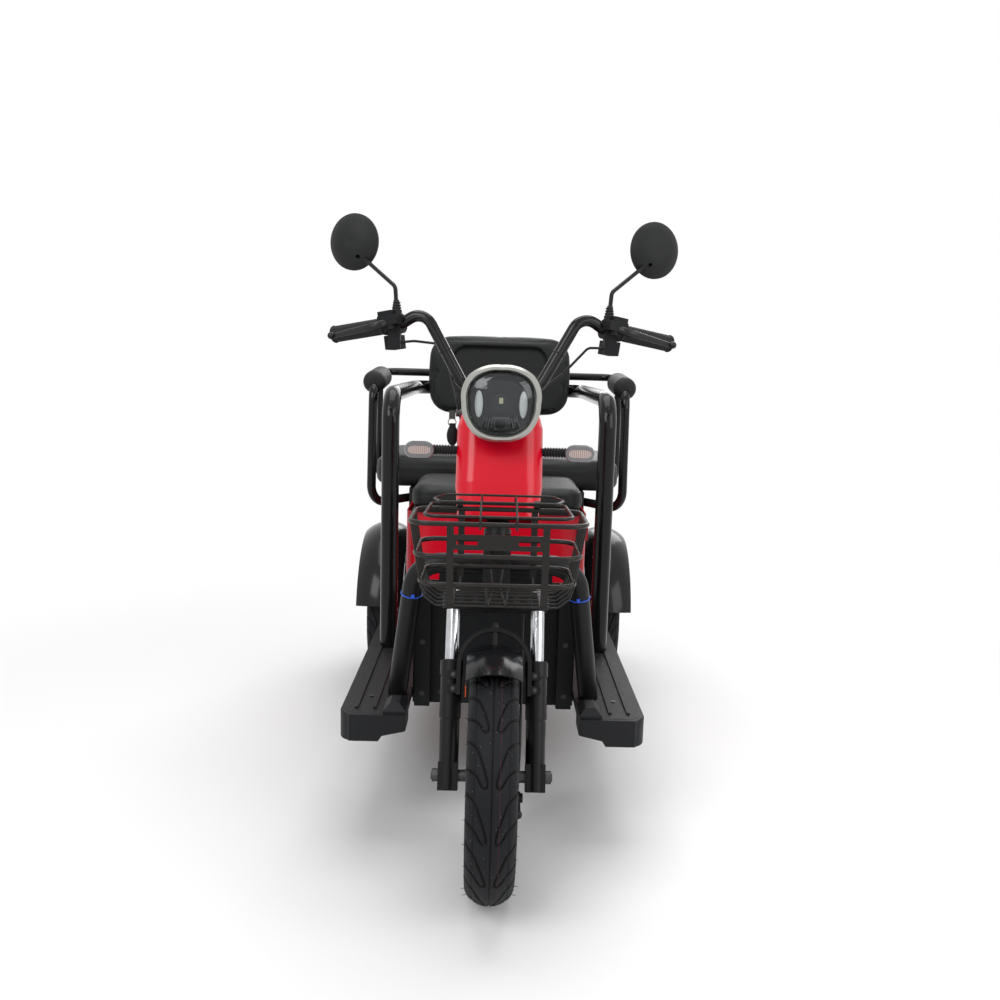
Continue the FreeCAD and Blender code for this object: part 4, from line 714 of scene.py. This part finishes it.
blades, brackets, buttons, boots, wires = Pile(), Pile(), Pile(), Pile(), Pile()
for side in SIDES:
    root = HAND_MID + Vector((0.004, -0.030, 0.002))
    elbow = HAND_MID + Vector((0.034, -0.044, -0.006))
    far = HAND_TIP + Vector((-0.004, -0.042, -0.004))
    blade = [sided(v, side) for v in smooth([root, elbow, elbow.lerp(far, 0.5), far])]
    blades.tube(blade, 0.0085, 12, flat=0.42, taper=0.55)
    blades.ball(sided(HAND_TIP + Vector((0.002, -0.042, -0.004)), side), (0.007, 0.0065, 0.007))
    turn = Matrix.Rotation(side * BRACKET_SWING, 4, "Z") @ Matrix.Rotation(side * BRACKET_TILT, 4, "Y")
    brackets.box(from_hand(0.006, -0.026, 0.006, side), (0.040, 0.026, 0.018), turn)
    brackets.box(from_hand(0.012, -0.004, 0.017, side), (0.030, 0.028, 0.014), turn)
    brackets.rod(from_hand(0.004, -0.033, -0.010, side), from_hand(0.004, -0.033, 0.018, side), 0.007,
                 sides=18)
    brackets.box(from_hand(-0.001, 0.002, -0.034, side), (0.026, 0.034, 0.026), turn)
    buttons.rod(from_hand(-0.003, 0.012, -0.012, side), from_hand(-0.008, 0.024, -0.012, side), 0.005,
                sides=16)
    buttons.box(from_hand(-0.006, 0.020, -0.030, side), (0.010, 0.006, 0.008), turn)
    foot = HAND_MID + Vector((-0.004, -0.002, 0.022))
    boots.rod(sided(foot, side), sided(foot + Vector((0.001, 0.0, 0.024)), side), 0.0095, 0.0052, 20)
    for i in range(BOOT_STEPS):
        step = sided(foot + Vector((0.0, 0.0, 0.004 + 0.005 * i)), side)
        boots.ring(step, (0, 0, 1), 0.0088 - 0.0009 * i, 0.0014)
    nut_low, nut_high = (sided(foot + Vector((0.0, 0.0, z)), side) for z in (-0.004, 0.003))
    boots.rod(nut_low, nut_high, 0.011, sides=6)
    run = [HAND_MID + Vector((-0.010, -0.012, -0.006)), HAND_IN + WIRE_AHEAD, *WIRE_BENDS,
           Vector((0.062, AXLE_Y + 0.2700, 0.842))]
    wires.tube([sided(v, side) for v in smooth(run)], 0.0024)
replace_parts(blades.done("lever_blades", "steering", LOOKS["lever_black"], "lever_black"), "brake_levers")
brackets.done("lever_brackets", "steering", LOOKS["dark_plastic"], "dark_plastic")
buttons.done("switch_buttons", "steering", RED_BUTTON, "dark_plastic")
boots.done("mirror_boots", "steering", LOOKS["grip_rubber"], "grip_rubber")
wires.done("bar_wires", "steering", LOOKS["cable_black"], "cable_black")

# Raised rims of the signals: an outline with round ends, and for each loop its (width, height, lift)
END_R, END_APART = 0.0135, 0.0100
RIM_LOOPS = ((0.90, 0.50, 0.0004), (0.93, 0.56, -0.0018), (1.08, 1.08, -0.0018), (1.16, 1.16, 0.0022))

outline = [(c * END_R + math.copysign(END_APART, c), s * END_R) for c, s in circle(64)]
rims = Pile()
for side in SIDES:
    at = Vector((side * 0.146, AXLE_Y + 0.1872, SIGNAL_Z))
    rims.skin([[rims.bm.verts.new(at + Vector((x * wide, lift, z * high))) for x, z in outline]
               for wide, high, lift in RIM_LOOPS], True)
rims.done("signal_rims", "steering", RIM_LOOK, "lamp_grey")

# Mirrors as the photo shows them, turned a little towards the rider
MIRROR_TURN = math.radians(24.0)
MIRROR_BALL = Vector((0.296, AXLE_Y + 0.400, 1.126))


def about_ball(at):
    """A point of a mirror, turned about the ball joint of its side."""
    side = math.copysign(1.0, at.x)
    pivot = sided(MIRROR_BALL, side)
    return pivot + Matrix.Rotation(side * MIRROR_TURN, 3, "Z") @ (at - pivot)


for node in ("mirror_heads", "mirror_glass"):
    reshaped(node, "_turned", about_ball)

# Ends of the footboards, rounded at their outer corner: loops of height and inset, the last at the underside
LIP_R = 0.034
LIP_CUT = 0.004            # chamfer of the inner corner
LIP_X, LIP_Y = (0.1605, 0.2846), (AXLE_Y + 0.1424, AXLE_Y + 0.205)
LIP_LOOPS = ((0.2506, 0.010), (0.2490, 0.0045), (0.2440, 0.0008), (0.2390, 0.0), (None, 0.0))
LIP_LOW, LIP_HIGH = 0.199, 0.214           # underside of the outer part, and inside its slope
SLOPE_FROM, SLOPE_RISE, SLOPE_RUN = 0.212, 0.005, 0.05


def lip_outline():
    (x0, x1), (y0, y1) = LIP_X, LIP_Y
    corner = [(x1 - LIP_R + LIP_R * math.sin(a), y0 + LIP_R - LIP_R * math.cos(a))
              for a in [0.5 * math.pi * i / 10.0 for i in range(11)]]
    return [(x0, y1), (x0, y0 + LIP_CUT), (x0 + LIP_CUT, y0), *corner, (x1, y1)]


for side, name in zip(SIDES, ("board_lip_left", "board_lip_right")):
    lip = Pile()
    mx, my = (LIP_X[0] + LIP_X[1]) / 2.0, LIP_Y[1]
    loops = []
    for z, inset in LIP_LOOPS:
        ring = []
        for x, y in lip_outline():
            low = LIP_LOW if x > SLOPE_FROM else LIP_HIGH + SLOPE_RISE * (SLOPE_FROM - x) / SLOPE_RUN
            away = Vector((mx - x, my - y, 0.0))
            step = away.normalized() * inset if away.length > inset else Vector((0.0, 0.0, 0.0))
            ring.append(lip.bm.verts.new(sided((x + step.x, y + step.y, low if z is None else z), side)))
        loops.append(ring)
    lip.skin(loops, False)
    lip.bm.faces.new(loops[0])
    lip.bm.faces.new(loops[-1])
    lip.done(name, "chassis", LOOKS["board_plastic"], "board_plastic")

# Beaded edges of the rear mudguards and their rivets
BEAD_X, BEAD_R = 0.3613, 0.1915
BEAD_FROM, BEAD_SWEEP, BEAD_STEPS = -95.0, 171.0, 80
RIVET_X, RIVET_R = 0.3625, 0.203

beads = Pile()
rivets = []
for side in SIDES:
    edge = [(side * BEAD_X, REAR_Y - BEAD_R * math.sin(a), TYRE_R + BEAD_R * math.cos(a))
            for a in [math.radians(BEAD_FROM + BEAD_SWEEP * i / BEAD_STEPS) for i in range(BEAD_STEPS + 1)]]
    beads.tube(edge, 0.0030)
    for a in [math.radians(degrees) for degrees in (-80.0, -25.0, 20.0, 70.0)]:
        at = (side * RIVET_X, REAR_Y - RIVET_R * math.sin(a), TYRE_R + RIVET_R * math.cos(a))
        rivets.append((at, (side, 0, 0)))
beads.done("guard_beads", "chassis", LOOKS["guard_black"], "guard_black")
bolts("guard_rivets", "chassis", DARK_BOLT, "black_steel", rivets, 0.0042, 0.002, ROUND_HEAD)

# Front brake link with its adjuster and cable, an orange mark on the leg, and the nut of the fork brace
LINK_X = 0.047
links = Pile()
links.rod((LINK_X, AXLE_Y - 0.004, 0.138), (LINK_X, AXLE_Y + 0.058, 0.152), 0.0022)
links.rod((LINK_X, AXLE_Y + 0.006, 0.1402), (LINK_X, AXLE_Y + 0.020, 0.1434), 0.0050, sides=6)
links.ball((LINK_X, AXLE_Y - 0.006, 0.1375), (0.007, 0.006, 0.008))
links.tube(smooth([(LINK_X, AXLE_Y + 0.056, 0.1515), (0.049, AXLE_Y + 0.090, 0.170),
                   (0.051, AXLE_Y + 0.100, 0.220), up_axis(51.0, 60.0, 110.0), up_axis(51.0, 34.0, 180.0),
                   up_axis(50.0, 14.0, 288.0)]), 0.0026)
links.done("brake_link", "steering", LOOKS["cable_black"], "cable_black")
mark = Pile()
mark.box((-0.0475, AXLE_Y + 0.010, 0.352), (0.0015, 0.014, 0.022))
mark.done("orange_mark", "steering", ORANGE, "signal_clear")
nut = Pile()
nut_back, nut_face, stud_end = (up_axis(0.0, -60.0, z) for z in (247.5, 253.0, 257.0))
nut.rod(nut_back, nut_face, 0.0075, sides=6)
nut.rod(nut_face, stud_end, 0.0042, sides=12)
nut.done("brace_nut", "steering", LOOKS["black_steel"], "black_steel")

# Rubber strip between the seat box and the middle floor
sill = Pile()
sill.box((0.0, AXLE_Y + 0.614, 0.2485), (0.318, 0.014, 0.005))
sill.done("box_sill", "chassis", LOOKS["grip_rubber"], "grip_rubber")

# Rear dampers: rod, spring seats and coil, in shares of the way from the foot to the head
DAMPER_X = 0.160
COIL_TURNS, COIL_STEPS, COIL_R = 4.0, 96, 0.0165
COIL_FROM, COIL_SPAN = 0.34, 0.54

coils = Pile()
for side in SIDES:
    low = Vector((side * DAMPER_X, REAR_Y - 0.006, TYRE_R + 0.020))
    high = Vector((side * DAMPER_X, REAR_Y - 0.060, 0.302))
    axis = (high - low).normalized()
    across = axis.orthogonal().normalized()
    other = axis.cross(across)
    coils.rod(low.lerp(high, 0.30), high, 0.009)
    coils.rod(low.lerp(high, 0.86), high, 0.020, sides=24)
    coils.rod(low.lerp(high, 0.28), low.lerp(high, 0.36), 0.020, sides=24)
    turns = []
    for i in range(COIL_STEPS + 1):
        a = FULL_TURN * COIL_TURNS * i / COIL_STEPS
        middle = low.lerp(high, COIL_FROM + COIL_SPAN * i / COIL_STEPS)
        turns.append(middle + (across * math.cos(a) + other * math.sin(a)) * COIL_R)
    coils.tube(turns, 0.0030)
coils.done("damper_springs", "chassis", SPRING, "zinc")
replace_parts(bpy.data.objects["damper_springs"], "rear_dampers")

# Moulding whiskers on the shoulders of the front tyre, and its valve
WHISKERS = 30
WHISKER_X, WHISKER_R = 0.0368, 0.186
WHISKER_LONG, WHISKER_MORE, WHISKER_LEAN = 0.0045, 0.0012, 0.25

whiskers = Pile()
for side in SIDES:
    for i in range(WHISKERS):
        a = FULL_TURN * (i + 0.2 * side) / WHISKERS
        r = WHISKER_R - 0.004 * (i % 3)
        at = Vector((side * WHISKER_X, AXLE_Y + r * math.sin(a), TYRE_R + r * math.cos(a)))
        out = Vector((side, WHISKER_LEAN * math.sin(a + 1.0), WHISKER_LEAN * math.cos(a + 1.0))).normalized()
        whiskers.rod(at, at + out * (WHISKER_LONG + WHISKER_MORE * (i % 4)), 0.0006, 0.0003, 5)
whiskers.done("tyre_whiskers", "front_wheel", LOOKS["tyre"], "tyre")

valves = Pile()
valves.rod((0.0, AXLE_Y, TYRE_R + 0.120), (0.012, AXLE_Y, TYRE_R + 0.092), 0.0035)
valves.done("valve_front", "front_wheel", LOOKS["grip_rubber"], "grip_rubber")


# Floor, world, lights
WHITE = (1.0, 1.0, 1.0, 1.0)
FLOOR_SIZE = 14.0
FLOOR_COLOR = (0.86, 0.86, 0.86, 1.0)
FLOOR_LIT = 0.95           # the floor shows its shade within this radius
FLOOR_WHITE = 2.0          # and is plain white beyond this one
WORLD_LIGHT = 0.45
LIGHT_AIM = Vector((0, 0, 0.5))
LIGHTS = (("key", (-1.6, -2.6, 2.6), 1.8, 55.0), ("fill", (2.2, -2.0, 1.8), 2.0, 35.0),
          ("top", (0.0, 0.3, 3.2), 2.2, 45.0), ("back", (0.8, 2.8, 2.2), 2.0, 40.0))


def background_rays(tree):
    """Camera, mirror and glass rays, which all see the white background."""
    path = tree.nodes.new("ShaderNodeLightPath")
    total = path.outputs["Is Camera Ray"]
    for ray in ("Is Glossy Ray", "Is Transmission Ray"):
        total = math_node(tree, "MAXIMUM", total, path.outputs[ray])
    return total


def floor_look():
    """Grey where the light falls round the part, fading to white."""
    m = bpy.data.materials.new("white floor")
    m.use_nodes = True
    nodes, links = m.node_tree.nodes, m.node_tree.links
    shader = nodes["Principled BSDF"]
    shader.inputs["Base Color"].default_value = FLOOR_COLOR
    shader.inputs["Roughness"].default_value = 0.8
    shader.inputs["Specular IOR Level"].default_value = 0.1
    place = nodes.new("ShaderNodeTexCoord")
    reach = nodes.new("ShaderNodeVectorMath")
    reach.operation = "LENGTH"
    links.new(place.outputs["Object"], reach.inputs[0])
    far = nodes.new("ShaderNodeMapRange")
    far.interpolation_type = "SMOOTHSTEP"
    far.inputs["From Min"].default_value = FLOOR_LIT
    far.inputs["From Max"].default_value = FLOOR_WHITE
    links.new(reach.outputs["Value"], far.inputs["Value"])
    both = math_node(m.node_tree, "MULTIPLY", far.outputs["Result"], background_rays(m.node_tree))
    white = nodes.new("ShaderNodeEmission")
    white.inputs["Color"].default_value = WHITE
    white.inputs["Strength"].default_value = 1.0
    blend = nodes.new("ShaderNodeMixShader")
    links.new(both, blend.inputs["Fac"])
    links.new(shader.outputs["BSDF"], blend.inputs[1])
    links.new(white.outputs["Emission"], blend.inputs[2])
    links.new(blend.outputs["Shader"], nodes["Material Output"].inputs["Surface"])
    return m


def studio():
    """A world that lights softly and is seen as plain white."""
    world = bpy.data.worlds.new("studio")
    scene.world = world
    world.use_nodes = True
    nodes, links = world.node_tree.nodes, world.node_tree.links
    nodes.clear()
    out = nodes.new("ShaderNodeOutputWorld")
    mix = nodes.new("ShaderNodeMixShader")
    links.new(background_rays(world.node_tree), mix.inputs["Fac"])
    for socket, strength in ((1, WORLD_LIGHT), (2, 1.0)):
        sky = nodes.new("ShaderNodeBackground")
        sky.inputs["Color"].default_value = WHITE
        sky.inputs["Strength"].default_value = strength
        links.new(sky.outputs["Background"], mix.inputs[socket])
    links.new(mix.outputs["Shader"], out.inputs["Surface"])


def stage():
    bpy.ops.mesh.primitive_plane_add(size=FLOOR_SIZE)
    floor = bpy.context.object
    floor.name = "floor"
    floor.data.materials.append(floor_look())
    studio()
    for name, place, size, power in LIGHTS:
        data = bpy.data.lights.new(name, "AREA")
        data.size = size
        data.energy = power
        light = bpy.data.objects.new(name, data)
        scene.collection.objects.link(light)
        light.location = place
        light.rotation_euler = (LIGHT_AIM - Vector(place)).to_track_quat("-Z", "Y").to_euler()


stage()

# Camera, fitted to the photo
CAMERA_AT = Vector((-0.011, -1.490 + AXLE_Y, 0.898))
CAMERA_TURN = (-8.415, 0.481, 1.595)       # pitch, yaw and roll in degrees
FOCAL_PX, PHOTO_PX = 927.4, 1000.0
SENSOR = 36.0


def camera():
    pitch, yaw, roll = (math.radians(a) for a in CAMERA_TURN)
    ahead = Vector((math.sin(yaw) * math.cos(pitch), math.cos(yaw) * math.cos(pitch), math.sin(pitch)))
    right = Vector((math.cos(yaw), -math.sin(yaw), 0.0))
    up = right.cross(ahead)
    right, up = (right * math.cos(roll) + up * math.sin(roll), up * math.cos(roll) - right * math.sin(roll))
    data = bpy.data.cameras.new("camera")
    data.sensor_width = SENSOR
    data.lens = FOCAL_PX / PHOTO_PX * SENSOR
    cam = bpy.data.objects.new("camera", data)
    scene.collection.objects.link(cam)
    cam.matrix_world = Matrix.Translation(CAMERA_AT) @ Matrix((right, up, -ahead)).transposed().to_4x4()
    scene.camera = cam


camera()
